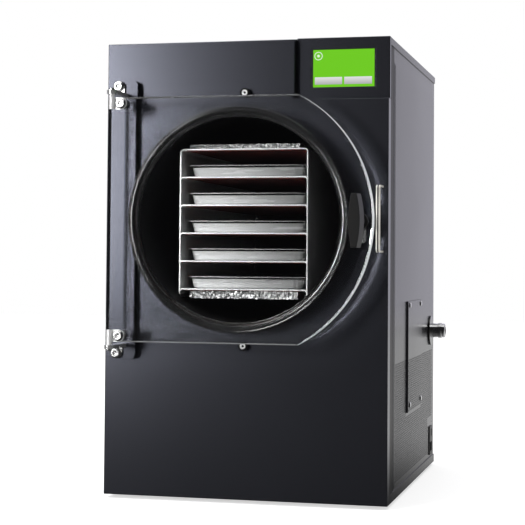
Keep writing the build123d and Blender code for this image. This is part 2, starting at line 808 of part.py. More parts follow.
with BuildPart() as hinge_brackets:
    for side in (-1, 1):
        arm_z = door_z + side * (door_half_h + arm_gap)
        screw_z = hinge_bar_z + side * hinge_screw_dz
        with BuildSketch(level(arm_z)):
            with Locations((pin_x, bar_front_y)):
                Rectangle(2 * arm_half_w, bar_front_y - pin_y, align=(Align.CENTER, Align.MAX))
            with Locations((pin_x, pin_y)):
                Circle(arm_half_w)
                Circle(pin_r + running, mode=Mode.SUBTRACT)
        extrude(amount=side * arm_t)
        with BuildSketch(facing_front(bar_front_y)):
            with Locations(((pin_x + hinge_screw_x) / 2, (arm_z + screw_z) / 2)):
                Rectangle(leg_w, abs(screw_z - arm_z))
            with Locations((hinge_screw_x, screw_z)):
                Circle(leg_end_r)
                Circle(hinge_screw_r + hole_play, mode=Mode.SUBTRACT)
        extrude(amount=leg_t)
save(hinge_brackets, "hinge_brackets")

leaf_t = 2.5
leaf_h = 18.6
leaf_end_r = 9.2
knuckle_r = 4.5
knuckle_gap = 0.3
knuckle_len = leaf_h / 2 + door_half_h - leaf_screw_dz + arm_gap - knuckle_gap

with BuildPart() as hinge_leaves:
    for side in (-1, 1):
        screw_z = door_z + side * leaf_screw_dz
        with BuildSketch(facing_front(door_front_y)):
            with Locations((pin_x, screw_z)):
                Rectangle(leaf_screw_x - pin_x, leaf_h, align=(Align.MIN, Align.CENTER))
            with Locations((leaf_screw_x, screw_z)):
                Circle(leaf_end_r)
        extrude(amount=leaf_t)
        with BuildSketch(level(screw_z - side * leaf_h / 2)):
            with Locations((pin_x, pin_y)):
                Circle(knuckle_r)
        extrude(amount=side * knuckle_len)
        with BuildSketch(level(screw_z - side * leaf_h / 2)):
            with Locations((pin_x, pin_y)):
                Circle(pin_r + running)
        extrude(amount=side * knuckle_len, mode=Mode.SUBTRACT)
        with BuildSketch(facing_front(door_front_y)):
            with Locations((leaf_screw_x, screw_z)):
                Circle(leaf_shank_r + hole_play)
        extrude(amount=leaf_t, mode=Mode.SUBTRACT)
save(hinge_leaves, "hinge_leaves")

pin_head_r = 4.2
pin_head_t = 3.0
with BuildPart() as hinge_pins:
    for side in (-1, 1):
        pin_len = knuckle_len + knuckle_gap + arm_t
        with BuildSketch(level(door_z + side * (leaf_screw_dz - leaf_h / 2))):
            with Locations((pin_x, pin_y)):
                Circle(pin_r)
        extrude(amount=side * pin_len)
        with BuildSketch(level(door_z + side * (door_half_h + arm_gap + arm_t))):
            with Locations((pin_x, pin_y)):
                Circle(pin_head_r)
        extrude(amount=side * pin_head_t)
save(hinge_pins, "hinge_pins")

# ---------------------------------------------------------------- button head screws and nuts
button_r = 8.75
button_h = 5.0
button_bevel = 2.0
socket_r = 3.3
socket_deep = 2.5


def button_screw(x, z, seat_y, shank_r, shank_len):
    """One button head screw whose head rests on the plane y = seat_y; the shank goes to the back."""
    with BuildPart(mode=Mode.PRIVATE) as screw:
        with BuildSketch(facing_front(seat_y)):
            with Locations((x, z)):
                Circle(button_r)
        extrude(amount=button_h)
        chamfer(screw.edges().group_by(Axis.Y)[0], length=button_bevel)
        with BuildSketch(facing_front(seat_y - button_h)):
            with Locations((x, z)):
                RegularPolygon(socket_r, 6)
        extrude(amount=-socket_deep, mode=Mode.SUBTRACT)
        with BuildSketch(facing_front(seat_y)):
            with Locations((x, z)):
                Circle(shank_r)
        extrude(amount=-shank_len)
    return screw.part


bar_shank_len = 26.0
bar_screw_zs = [hinge_bar_z + side * hinge_screw_dz for side in (-1, 1)]
bar_screw_solids = [
    button_screw(hinge_screw_x, z, leg_front_y, hinge_screw_r, bar_shank_len) for z in bar_screw_zs
]
with BuildPart() as bar_screws:
    add(bar_screw_solids)
save(bar_screws, "bar_screws")

nut_t = 6.0
nut_r = 8.0
leaf_front_y = door_front_y - leaf_t
leaf_shank_len = leaf_t + door_t + nut_t
leaf_screw_zs = [door_z + side * leaf_screw_dz for side in (-1, 1)]
leaf_screw_solids = [
    button_screw(leaf_screw_x, z, leaf_front_y, leaf_shank_r, leaf_shank_len) for z in leaf_screw_zs
]
with BuildPart() as leaf_screws:
    add(leaf_screw_solids)
save(leaf_screws, "leaf_screws")

with BuildPart() as leaf_nuts:
    with BuildSketch(facing_front(door_back_y + nut_t)):
        with Locations((leaf_screw_x, door_z + leaf_screw_dz), (leaf_screw_x, door_z - leaf_screw_dz)):
            RegularPolygon(nut_r, 6)
            Circle(leaf_shank_r + running, mode=Mode.SUBTRACT)
    extrude(amount=nut_t)
save(leaf_nuts, "leaf_nuts")

# ---------------------------------------------------------------- bumpers for the insulating cover
bumper_r = 7.3
bumper_len = 10.0
bumper_recess_r = 4.8
bumper_recess = 3.0
peg_head_r = 4.5
peg_behind = 12.0
peg_socket = 2.0
bumper_front_y = front_y - bumper_len

with BuildPart() as bumper_rings:
    with BuildSketch(facing_front(front_y)):
        with Locations((peg_x, peg_z + peg_dz), (peg_x, peg_z - peg_dz)):
            Circle(bumper_r)
    extrude(amount=bumper_len)
    with BuildSketch(facing_front(front_y)):
        with Locations((peg_x, peg_z + peg_dz), (peg_x, peg_z - peg_dz)):
            Circle(peg_shank_r + hole_play)
    extrude(amount=bumper_len, mode=Mode.SUBTRACT)
    with BuildSketch(facing_front(bumper_front_y)):
        with Locations((peg_x, peg_z + peg_dz), (peg_x, peg_z - peg_dz)):
            Circle(bumper_recess_r)
    extrude(amount=-bumper_recess, mode=Mode.SUBTRACT)
save(bumper_rings, "bumper_rings")

with BuildPart() as bumper_screws:
    with BuildSketch(facing_front(bumper_front_y + bumper_recess)):
        with Locations((peg_x, peg_z + peg_dz), (peg_x, peg_z - peg_dz)):
            Circle(peg_head_r)
    extrude(amount=bumper_recess)
    with BuildSketch(facing_front(bumper_front_y)):
        with Locations((peg_x, peg_z + peg_dz), (peg_x, peg_z - peg_dz)):
            RegularPolygon(peg_shank_r, 6)
    extrude(amount=-peg_socket, mode=Mode.SUBTRACT)
    with BuildSketch(facing_front(bumper_front_y + bumper_recess)):
        with Locations((peg_x, peg_z + peg_dz), (peg_x, peg_z - peg_dz)):
            Circle(peg_shank_r)
    extrude(amount=-(bumper_len - bumper_recess + peg_behind))
save(bumper_screws, "bumper_screws")

# ---------------------------------------------------------------- door latch
shaft_r = 6.0
flange_r = 13.0
flange_t = 3.0
bushing_nut_r = 12.0
bushing_nut_t = 4.0
bushing_tail = 1.3  # bushing's thread left showing behind its nut
grip_h = 80.0
grip_out = 90.0
grip_t = 22.0
grip_y0 = front_y - grip_out
grip_y1 = grip_y0 - grip_t
grip_back_w = (23.4, 13.0)  # width at the middle and at the ends
grip_front_w = (17.6, 8.0)
hub_r = 9.0
hub_gap = 0.7
cam_out = 22.0
shaft_past_cam = 7.0
shaft_in_grip = 10.0
cam_y0 = front_y - cam_out
cam_t = 6.0
cam_hub_r = 8.7
cam_hub_len = 14.0
cam_w = 10.0
cam_reach = 32.0
shaft_back_y = cam_y0 + shaft_past_cam
shaft_front_y = grip_y0 - shaft_in_grip
cam_nut_r = 9.0
bushing_back_y = door_back_y + bushing_nut_t + bushing_tail

with BuildPart() as latch_bushing:
    with BuildSketch(facing_front(bushing_back_y)):
        with Locations((latch_x, latch_z)):
            Circle(bushing_r)
    extrude(amount=bushing_back_y - door_front_y)
    with BuildSketch(facing_front(door_front_y)):
        with Locations((latch_x, latch_z)):
            Circle(flange_r)
    extrude(amount=flange_t)
    with BuildSketch(facing_front(bushing_back_y)):
        with Locations((latch_x, latch_z)):
            Circle(shaft_r + running)
    extrude(amount=bushing_back_y - door_front_y + flange_t, mode=Mode.SUBTRACT)
save(latch_bushing, "latch_bushing")

with BuildPart() as latch_bushing_nut:
    with BuildSketch(facing_front(door_back_y + bushing_nut_t)):
        with Locations((latch_x, latch_z)):
            RegularPolygon(bushing_nut_r, 6)
            Circle(bushing_r + running, mode=Mode.SUBTRACT)
    extrude(amount=bushing_nut_t)
save(latch_bushing_nut, "latch_bushing_nut")

with BuildPart() as latch_shaft:
    with BuildSketch(facing_front(shaft_back_y)):
        with Locations((latch_x, latch_z)):
            Circle(shaft_r)
    extrude(amount=shaft_back_y - shaft_front_y)
save(latch_shaft, "latch_shaft")

with BuildPart() as latch_handle:
    for y, (middle_w, end_w) in ((grip_y0, grip_back_w), (grip_y1, grip_front_w)):
        with BuildSketch(facing_front(y)):
            with BuildLine():
                for side in (-1, 1):
                    ThreePointArc(
                        (latch_x + side * end_w / 2, latch_z - side * grip_h / 2),
                        (latch_x + side * middle_w / 2, latch_z),
                        (latch_x + side * end_w / 2, latch_z + side * grip_h / 2),
                    )
                    Line(
                        (latch_x + side * end_w / 2, latch_z + side * grip_h / 2),
                        (latch_x - side * end_w / 2, latch_z + side * grip_h / 2),
                    )
            make_face()
    loft()
    hub_y = door_front_y - flange_t - hub_gap
    with BuildSketch(facing_front(hub_y)):
        with Locations((latch_x, latch_z)):
            Circle(hub_r)
    extrude(amount=hub_y - grip_y0)
    with BuildSketch(facing_front(hub_y)):
        with Locations((latch_x, latch_z)):
            Circle(shaft_r + running)
    extrude(amount=hub_y - shaft_front_y, mode=Mode.SUBTRACT)
save(latch_handle, "latch_handle")

with BuildPart() as latch_cam:
    with BuildSketch(facing_front(cam_y0)):
        with Locations((latch_x, latch_z)):
            Circle(cam_hub_r)
    extrude(amount=cam_hub_len)
    with BuildSketch(facing_front(cam_y0)):
        with Locations((latch_x, latch_z)):
            Rectangle(cam_w, cam_reach - cam_w / 2, align=(Align.CENTER, Align.MAX))
        with Locations((latch_x, latch_z - cam_reach + cam_w / 2)):
            Circle(cam_w / 2)
    extrude(amount=cam_t)
    with BuildSketch(facing_front(cam_y0)):
        with Locations((latch_x, latch_z)):
            Circle(shaft_r + running)
    extrude(amount=cam_hub_len, mode=Mode.SUBTRACT)
save(latch_cam, "latch_cam")

with BuildPart() as latch_nut:
    with BuildSketch(facing_front(cam_y0 + nut_t)):
        with Locations((latch_x, latch_z)):
            RegularPolygon(cam_nut_r, 6)
            Circle(shaft_r + running, mode=Mode.SUBTRACT)
    extrude(amount=nut_t)
save(latch_nut, "latch_nut")

# ---------------------------------------------------------------- strike
strike_corner_r = 6.0
stud_behind = 9.0
strike_nut_r = 4.5
strike_nut_t = 3.0

with BuildSketch(mode=Mode.PRIVATE) as strike_profile:
    with Locations((front_y, strike_z)):
        Rectangle(strike_out, strike_h, align=(Align.MAX, Align.CENTER))
    fillet(strike_profile.vertices().group_by(Axis.X)[0], radius=strike_corner_r)
    with BuildSketch(mode=Mode.PRIVATE) as strike_gap:
        with Locations((front_y, strike_z)):
            Rectangle(strike_out - strike_t, strike_h - 2 * strike_t, align=(Align.MAX, Align.CENTER))
        fillet(strike_gap.vertices().group_by(Axis.X)[0], radius=strike_corner_r - strike_t)
    add(strike_gap.sketch, mode=Mode.SUBTRACT)

with BuildPart() as strike:
    with BuildSketch(facing_right(strike_x - strike_w / 2)):
        add(strike_profile.sketch)
    extrude(amount=strike_w)
    with BuildSketch(facing_front(front_y + stud_behind)):
        with Locations((strike_x, strike_z)):
            with GridLocations(0, strike_h - strike_t, 1, 2):
                Circle(strike_screw_r - hole_play)
    extrude(amount=stud_behind + strike_t)
save(strike, "strike")

with BuildPart() as strike_nuts:
    with BuildSketch(facing_front(front_y + sheet + strike_nut_t)):
        with Locations((strike_x, strike_z)):
            with GridLocations(0, strike_h - strike_t, 1, 2):
                RegularPolygon(strike_nut_r, 6)
                Circle(strike_screw_r, mode=Mode.SUBTRACT)
    extrude(amount=strike_nut_t)
save(strike_nuts, "strike_nuts")

# ---------------------------------------------------------------- vacuum port on the right side
fitting_r = 13.0
fitting_bore_r = 7.0
fitting_out = 28.4
fitting_tail = 15.0
nipple_depth = 39.0
ridge_out = 16.0
fitting_end_x = side_x + fitting_out
fitting_tail_x = side_x - fitting_tail
nipple_x = side_x - nipple_depth
ridge_x = side_x + ridge_out
ridge_w = 6.0
ridge_r = 14.2
grommet_r = 27.0
grommet_t = 3.0
grommet_inner_r = 24.0

with BuildPart() as vacuum_fitting:
    with BuildSketch(facing_right(fitting_tail_x)):
        with Locations((port_y, port_z)):
            Circle(fitting_r)
    extrude(amount=fitting_end_x - fitting_tail_x)
    chamfer(vacuum_fitting.edges().group_by(Axis.X)[-1], length=1.5)
    with BuildSketch(facing_right(ridge_x)):
        with Locations((port_y, port_z)):
            Circle(ridge_r)
    extrude(amount=ridge_w)
    with BuildSketch(facing_right(nipple_x)):
        with Locations((port_y, port_z)):
            Circle(stub_r)
    extrude(amount=fitting_tail_x - nipple_x)
    with BuildSketch(facing_right(nipple_x)):
        with Locations((port_y, port_z)):
            Circle(fitting_bore_r)
    extrude(amount=fitting_end_x - nipple_x, mode=Mode.SUBTRACT)
save(vacuum_fitting, "vacuum_fitting")

with BuildPart() as port_grommet:
    with BuildSketch(facing_right(side_x)):
        with Locations((port_y, port_z)):
            Circle(grommet_r)
    extrude(amount=grommet_t)
    with BuildSketch(facing_right(skin_x)):
        with Locations((port_y, port_z)):
            Circle(port_hole_r - running)
    extrude(amount=sheet)
    with BuildSketch(facing_right(skin_x)):
        with Locations((port_y, port_z)):
            Circle(grommet_inner_r)
    extrude(amount=-grommet_t)
    with BuildSketch(facing_right(skin_x - grommet_t)):
        with Locations((port_y, port_z)):
            Circle(fitting_r + running)
    extrude(amount=sheet + 2 * grommet_t, mode=Mode.SUBTRACT)
save(port_grommet, "port_grommet")

hose_play = 0.1
hose_wall = 3.4
hose_overlap = 14.0
hose_bend = 14.0
hose_inner_r = stub_r + hose_play
hose_outer_r = hose_inner_r + hose_wall
hose_top_z = stub_end_z + hose_overlap
hose_end_gap = 2.0
hose_knee = 57.0
hose_knee_x = side_x - hose_knee

with BuildPart() as vacuum_hose:
    with BuildLine():
        Polyline(
            (stub_x, stub_y, hose_top_z),
            (stub_x, stub_y, port_z + hose_bend),
            (stub_x + hose_bend, stub_y, port_z),
            (hose_knee_x, port_y, port_z),
            (fitting_tail_x - hose_end_gap, port_y, port_z),
        )
    with BuildSketch(Plane(origin=(stub_x, stub_y, hose_top_z), z_dir=(0, 0, -1))):
        RegularPolygon(hose_outer_r, 8, major_radius=False)
        RegularPolygon(hose_inner_r, 8, major_radius=False, mode=Mode.SUBTRACT)
    sweep(transition=Transition.RIGHT)
save(vacuum_hose, "vacuum_hose")

# ---------------------------------------------------------------- access cover on the right side
cover_out = 3.0
cover_vent_side = 18.0
cover_vent_low = 26.0
cover_face_x = side_x + cover_out

with BuildPart() as access_cover:
    with BuildSketch(facing_right(side_x)):
        with Locations((cover_y, cover_z0 + cover_h / 2)):
            Rectangle(cover_w, cover_h)
    extrude(amount=cover_out)
    fillet(access_cover.edges().group_by(Axis.X)[-1], radius=bend_r)
    with BuildSketch(facing_right(side_x)):
        with Locations((cover_y, cover_z0 + cover_h / 2)):
            Rectangle(cover_w - 2 * sheet, cover_h - 2 * sheet)
    extrude(amount=cover_out - sheet, mode=Mode.SUBTRACT)
    with BuildSketch(facing_right(side_x)):
        vent_box = (cover_y - cover_w / 2 + cover_vent_side, cover_y + cover_w / 2 - cover_vent_side)
        with Locations(*vent_points(*vent_box, cover_z0 + cover_vent_low, vent_top)):
            RegularPolygon(vent_hole_r, 4)
        with Locations(*cover_screw_points()):
            Circle(cover_screw_r + hole_play)
    extrude(amount=cover_out, mode=Mode.SUBTRACT)
save(access_cover, "access_cover")

cover_head_r = 4.5
cover_head_t = 1.8
cover_shank = 12.0
cover_head_bevel = 0.7
with BuildPart() as access_cover_screws:
    with BuildSketch(facing_right(cover_face_x)):
        with Locations(*cover_screw_points()):
            Circle(cover_head_r)
    extrude(amount=cover_head_t)
    chamfer(access_cover_screws.edges().group_by(Axis.X)[-1], length=cover_head_bevel)
    with BuildSketch(facing_right(cover_face_x)):
        with Locations(*cover_screw_points()):
            Circle(cover_screw_r)
    extrude(amount=-cover_shank)
save(access_cover_screws, "access_cover_screws")

# ---------------------------------------------------------------- power inlet
inlet_flange_w = 31.0
inlet_flange_h = 52.0
inlet_deep = 20.0
socket_w = 24.0
socket_h = 17.0
socket_depth = 15.0
socket_drop = 11.0
window_w = 20.0
window_h = 13.0
window_rise = 14.0
window_depth = 9.0
rocker_set_in = 0.5
rocker_axis_x = side_x - rocker_set_in
rocker_pin_r = 1.5
rocker_h = 12.4
rocker_pin_len = 16.4
inlet_corner_r = 2.0
socket_corner_r = 3.0
pivot_len = 17.0
blade_w = 2.0
blade_h = 5.5
blade_len = 12.0
blade_dy = 7.0
earth_rise = 2.5
blade_drop = 2.0
inlet_face_x = side_x + inlet_flange
rocker_z = inlet_z + window_rise

with BuildPart() as power_inlet:
    with BuildSketch(facing_right(side_x)):
        with Locations((inlet_y, inlet_z)):
            Rectangle(inlet_flange_w, inlet_flange_h)
    extrude(amount=inlet_flange)
    fillet(power_inlet.edges().filter_by(Axis.X), radius=inlet_corner_r)
    with BuildSketch(facing_right(side_x)):
        with Locations((inlet_y, inlet_z)):
            Rectangle(inlet_w, inlet_h)
    extrude(amount=-inlet_deep)
    with BuildSketch(facing_right(inlet_face_x)):
        with Locations((inlet_y, inlet_z - socket_drop)):
            RectangleRounded(socket_w, socket_h, socket_corner_r)
    extrude(amount=-socket_depth, mode=Mode.SUBTRACT)
    with BuildSketch(facing_right(inlet_face_x)):
        with Locations((inlet_y, rocker_z)):
            Rectangle(window_w, window_h)
    extrude(amount=-window_depth, mode=Mode.SUBTRACT)
    with BuildSketch(level(rocker_z - pivot_len / 2)):
        with Locations((rocker_axis_x, inlet_y)):
            Circle(rocker_pin_r + running)
    extrude(amount=pivot_len, mode=Mode.SUBTRACT)
    with BuildSketch(facing_right(inlet_face_x - socket_depth)):
        with Locations(
            (inlet_y, inlet_z - socket_drop + earth_rise),
            (inlet_y - blade_dy, inlet_z - socket_drop - blade_drop),
            (inlet_y + blade_dy, inlet_z - socket_drop - blade_drop),
        ):
            Rectangle(blade_w, blade_h)
    extrude(amount=blade_len)
save(power_inlet, "power_inlet")

rocker_tilt = 8.0
rocker_outline = ((-3.0, -6.0), (1.0, -9.2), (2.6, 0.0), (1.0, 9.2), (-3.0, 6.0))
with BuildPart() as power_rocker:
    with BuildSketch(level(rocker_z - rocker_h / 2)):
        with Locations((rocker_axis_x, inlet_y)):
            Polygon(*rocker_outline, align=None, rotation=rocker_tilt)
    extrude(amount=rocker_h)
    with BuildSketch(level(rocker_z - rocker_pin_len / 2)):
        with Locations((rocker_axis_x, inlet_y)):
            Circle(rocker_pin_r)
    extrude(amount=rocker_pin_len)
save(power_rocker, "power_rocker")

# ---------------------------------------------------------------- drain valve on the left side
drain_nut_r = 16.0
drain_nut_t = 4.0
valve_gap = 7.0
valve_len = 28.0
barb_len = 22.0
boss_rise = 18.0
valve_x1 = -side_x - valve_gap
valve_x0 = valve_x1 - valve_len
barb_end_x = valve_x0 - barb_len
valve_r = 13.0
barb_r = 8.0
barb_bore_r = 5.0
stem_x = (valve_x0 + valve_x1) / 2
boss_r = 7.0
boss_top_z = drain_z + boss_rise
stem_r = 3.0
stem_deep = 8.0
lever_t = 3.0
lever_w = 12.0
lever_reach = 50.0
lever_gap = 0.3
ball_half = 2.0
stem_play = 1.0
stem_nut_h = 3.0

with BuildPart() as drain_valve_body:
    with BuildSketch(facing_right(-nipple_x)):
        with Locations((drain_y, drain_z)):
            Circle(stub_r)
    extrude(amount=valve_x1 + nipple_x)
    with BuildSketch(facing_right(-side_x)):
        with Locations((drain_y, drain_z)):
            RegularPolygon(drain_nut_r, 6)
    extrude(amount=-drain_nut_t)
    with BuildSketch(facing_right(valve_x1)):
        with Locations((drain_y, drain_z)):
            Circle(valve_r)
    extrude(amount=valve_x0 - valve_x1)
    with BuildSketch(facing_right(valve_x0)):
        with Locations((drain_y, drain_z)):
            Circle(barb_r)
    extrude(amount=barb_end_x - valve_x0)
    with BuildSketch(level(drain_z)):
        with Locations((stem_x, drain_y)):
            Circle(boss_r)
    extrude(amount=boss_top_z - drain_z)
    # the closed ball leaves the body solid between its two bores
    with BuildSketch(facing_right(-nipple_x)):
        with Locations((drain_y, drain_z)):
            Circle(fitting_bore_r)
    extrude(amount=valve_x1 - ball_half + nipple_x, mode=Mode.SUBTRACT)
    with BuildSketch(facing_right(barb_end_x)):
        with Locations((drain_y, drain_z)):
            Circle(barb_bore_r)
    extrude(amount=valve_x0 + ball_half - barb_end_x, mode=Mode.SUBTRACT)
    with BuildSketch(level(boss_top_z)):
        with Locations((stem_x, drain_y)):
            Circle(stem_r + running)
    extrude(amount=-stem_deep - stem_play, mode=Mode.SUBTRACT)
save(drain_valve_body, "drain_valve_body")

with BuildPart() as drain_valve_lever:
    with BuildSketch(level(boss_top_z + lever_gap)):
        with Locations((stem_x, drain_y)):
            Circle(boss_r)
            Rectangle(lever_w, lever_reach, align=(Align.CENTER, Align.MAX))
        with Locations((stem_x, drain_y - lever_reach)):
            Circle(lever_w / 2)
    extrude(amount=lever_t)
    with BuildSketch(level(boss_top_z - stem_deep)):
        with Locations((stem_x, drain_y)):
            Circle(stem_r)
    extrude(amount=stem_deep + lever_gap + lever_t + stem_nut_h)
save(drain_valve_lever, "drain_valve_lever")

with BuildPart() as drain_hose:
    with BuildLine():
        Polyline(
            (-stub_x, drain_y, hose_top_z),
            (-stub_x, drain_y, drain_z + hose_bend),
            (-stub_x - hose_bend, drain_y, drain_z),
            (-fitting_tail_x + hose_end_gap, drain_y, drain_z),
        )
    with BuildSketch(Plane(origin=(-stub_x, drain_y, hose_top_z), z_dir=(0, 0, -1))):
        RegularPolygon(hose_outer_r, 8, major_radius=False)
        RegularPolygon(hose_inner_r, 8, major_radius=False, mode=Mode.SUBTRACT)
    sweep(transition=Transition.RIGHT)
save(drain_hose, "drain_hose")

# ---------------------------------------------------------------- refrigeration unit in the base
comp_x = -95.0
comp_y = 70.0
mount_r = 10.0
mount_h = 14.0
mount_dx = 160.0
mount_dy = 100.0
foot_plate_t = 3.0
shell_r = 68.0
shell_head_gap = 51.5  # from the compressor's top to the deck
shell_bevel = 22.0
terminal_w = 44.0
terminal_h = 56.0
terminal_out = 14.0
plate_z = floor_z + mount_h
shell_h = deck_z - shell_head_gap - plate_z - foot_plate_t

with BuildPart() as compressor_mounts:
    with BuildSketch(level(floor_z)):
        with Locations((comp_x, comp_y)):
            with GridLocations(mount_dx, mount_dy, 2, 2):
                Circle(mount_r)
    extrude(amount=mount_h)
save(compressor_mounts, "compressor_mounts")

with BuildPart() as compressor:
    with BuildSketch(level(plate_z + foot_plate_t)):
        with Locations((comp_x, comp_y)):
            Circle(shell_r)
    extrude(amount=shell_h)
    chamfer(compressor.edges().group_by(Axis.Z)[-1], length=shell_bevel)
    with BuildSketch(level(plate_z)):
        with Locations((comp_x, comp_y)):
            RectangleRounded(mount_dx + 3 * mount_r, mount_dy + 3 * mount_r, mount_r)
    extrude(amount=foot_plate_t)
    with BuildSketch(facing_front(comp_y)):
        with Locations((comp_x, plate_z + shell_h / 2)):
            Rectangle(terminal_w, terminal_h)
    extrude(amount=shell_r + terminal_out)
save(compressor, "compressor")

core_side_gap = 61.0
core_x = side_x - core_side_gap
core_t = 26.0
core_y0 = -145.0
core_w = 205.0
core_head_gap = 38.5
core_h = deck_z - core_head_gap - floor_z
fin_groove = 4.0
fin_count = 20
groove_deep = 8.0
groove_margin = 10.0

with BuildPart() as condenser:
    with BuildSketch(facing_right(core_x)):
        with Locations((core_y0, floor_z)):
            Rectangle(core_w, core_h, align=(Align.MIN, Align.MIN))
    extrude(amount=core_t)
    for start_x, depth in ((core_x, groove_deep), (core_x + core_t, -groove_deep)):
        with BuildSketch(facing_right(start_x)):
            with Locations((core_y0 + core_w / 2, floor_z + core_h / 2)):
                with GridLocations(core_w / (fin_count + 0.5), 0, fin_count, 1):
                    Rectangle(fin_groove, core_h - 2 * groove_margin)
        extrude(amount=depth, mode=Mode.SUBTRACT)
save(condenser, "condenser")

shroud_depth = 30.0
shroud_x = core_x - shroud_depth
shroud_wall = 2.0
fan_y = core_y0 + core_w / 2
fan_rise = 4.0
fan_z = floor_z + core_h / 2 + fan_rise
fan_hole_margin = 10.0
fan_play = 4.0
fan_hole_r = core_h / 2 - fan_hole_margin
fan_r = fan_hole_r - fan_play
strap_w = 16.0
strap_t = 4.0
motor_r = 26.0
motor_len = 34.0
motor_shaft_r = 4.0
fan_step = 3.0
fan_x = shroud_x + fan_step
fan_hub_r = 18.0
fan_hub_len = 14.0
blade_count = 5
blade_chord = 26.0
blade_t = 2.0
blade_pitch = 28.0

with BuildPart() as fan_shroud:
    with BuildSketch(facing_right(shroud_x)):
        with Locations((core_y0, floor_z)):
            Rectangle(core_w, core_h, align=(Align.MIN, Align.MIN))
    extrude(amount=core_x - shroud_x)
    with BuildSketch(facing_right(shroud_x + shroud_wall)):
        with Locations((core_y0 + shroud_wall, floor_z + shroud_wall)):
            Rectangle(core_w - 2 * shroud_wall, core_h - 2 * shroud_wall, align=(Align.MIN, Align.MIN))
    extrude(amount=core_x - shroud_x - shroud_wall, mode=Mode.SUBTRACT)
    with BuildSketch(facing_right(shroud_x)):
        with Locations((fan_y, fan_z)):
            Circle(fan_hole_r)
    extrude(amount=shroud_wall, mode=Mode.SUBTRACT)
    with BuildSketch(facing_right(shroud_x)):
        with Locations((fan_y, floor_z + core_h / 2)):
            Rectangle(strap_w, core_h)
    extrude(amount=-strap_t)
    with BuildSketch(facing_right(shroud_x - strap_t)):
        with Locations((fan_y, fan_z)):
            Circle(motor_shaft_r + 1)
    extrude(amount=strap_t, mode=Mode.SUBTRACT)
save(fan_shroud, "fan_shroud")

with BuildPart() as fan_motor:
    with BuildSketch(facing_right(shroud_x - strap_t)):
        with Locations((fan_y, fan_z)):
            Circle(motor_r)
    extrude(amount=-motor_len)
    with BuildSketch(facing_right(shroud_x - strap_t)):
        with Locations((fan_y, fan_z)):
            Circle(motor_shaft_r)
    extrude(amount=fan_x + fan_hub_len - 1 - shroud_x + strap_t)
save(fan_motor, "fan_motor")

with BuildPart() as condenser_fan:
    with BuildSketch(facing_right(fan_x)):
        with Locations((fan_y, fan_z)):
            Circle(fan_hub_r)
    extrude(amount=fan_hub_len)
    for index in range(blade_count):
        angle = radians(index * 360 / blade_count)
        outward = (0, cos(angle), sin(angle))
        root = (fan_x + fan_hub_len / 2, fan_y, fan_z)
        with BuildSketch(Plane(origin=root, x_dir=(1, 0, 0), z_dir=outward).offset(fan_hub_r - 2)):
            Rectangle(blade_t, blade_chord, rotation=blade_pitch)
        extrude(amount=fan_r - fan_hub_r + 2)
    with BuildSketch(facing_right(fan_x)):
        with Locations((fan_y, fan_z)):
            Circle(motor_shaft_r + running)
    extrude(amount=fan_hub_len, mode=Mode.SUBTRACT)
save(condenser_fan, "condenser_fan")
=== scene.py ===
# %% [markdown]
# # A freeze dryer, dressed for its portrait
#
# The machine is a black steel cabinet round a horizontal vacuum drum. A thick clear door
# closes the drum against a rubber ring, and a rack of steel trays stands inside.
# The solids of every mechanical piece are loaded first. Some keep their own shape and only
# get a finish. Others are modelled again with softer edges and finer detail.

import json
from math import cos, pi, radians, sin

import bmesh
import bpy
from mathutils import Matrix, Vector

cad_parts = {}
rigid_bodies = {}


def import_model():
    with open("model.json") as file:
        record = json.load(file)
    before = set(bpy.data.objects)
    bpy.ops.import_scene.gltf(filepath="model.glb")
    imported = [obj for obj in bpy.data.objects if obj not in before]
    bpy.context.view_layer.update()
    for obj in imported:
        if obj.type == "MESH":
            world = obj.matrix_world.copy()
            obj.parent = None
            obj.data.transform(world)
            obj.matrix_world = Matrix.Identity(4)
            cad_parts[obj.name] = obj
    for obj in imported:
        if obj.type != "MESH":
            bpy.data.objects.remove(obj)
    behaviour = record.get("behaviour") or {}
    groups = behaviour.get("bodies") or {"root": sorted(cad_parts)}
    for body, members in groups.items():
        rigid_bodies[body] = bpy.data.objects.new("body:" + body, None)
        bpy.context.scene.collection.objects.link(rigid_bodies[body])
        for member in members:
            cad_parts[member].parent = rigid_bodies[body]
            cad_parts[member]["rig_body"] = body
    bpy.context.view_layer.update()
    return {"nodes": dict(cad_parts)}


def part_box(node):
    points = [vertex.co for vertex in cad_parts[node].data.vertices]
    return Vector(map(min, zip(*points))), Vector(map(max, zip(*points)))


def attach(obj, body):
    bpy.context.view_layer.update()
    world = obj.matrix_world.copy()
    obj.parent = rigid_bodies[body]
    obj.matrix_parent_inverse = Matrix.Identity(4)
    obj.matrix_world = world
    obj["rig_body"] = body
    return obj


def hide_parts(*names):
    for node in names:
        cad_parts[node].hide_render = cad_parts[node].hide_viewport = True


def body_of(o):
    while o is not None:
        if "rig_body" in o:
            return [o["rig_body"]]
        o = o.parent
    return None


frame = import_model()
MM = 0.001
WELD = 0.00002  # corners closer than this many metres become one

# %% [markdown]
# ## Where the camera stands
#
# The portrait is taken from a little to the right of the machine with a long lens, level with
# the drum. The long lens keeps the cabinet's uprights almost parallel. The camera tips up by
# two degrees, and a small shift of the lens sets where the machine sits in the frame.

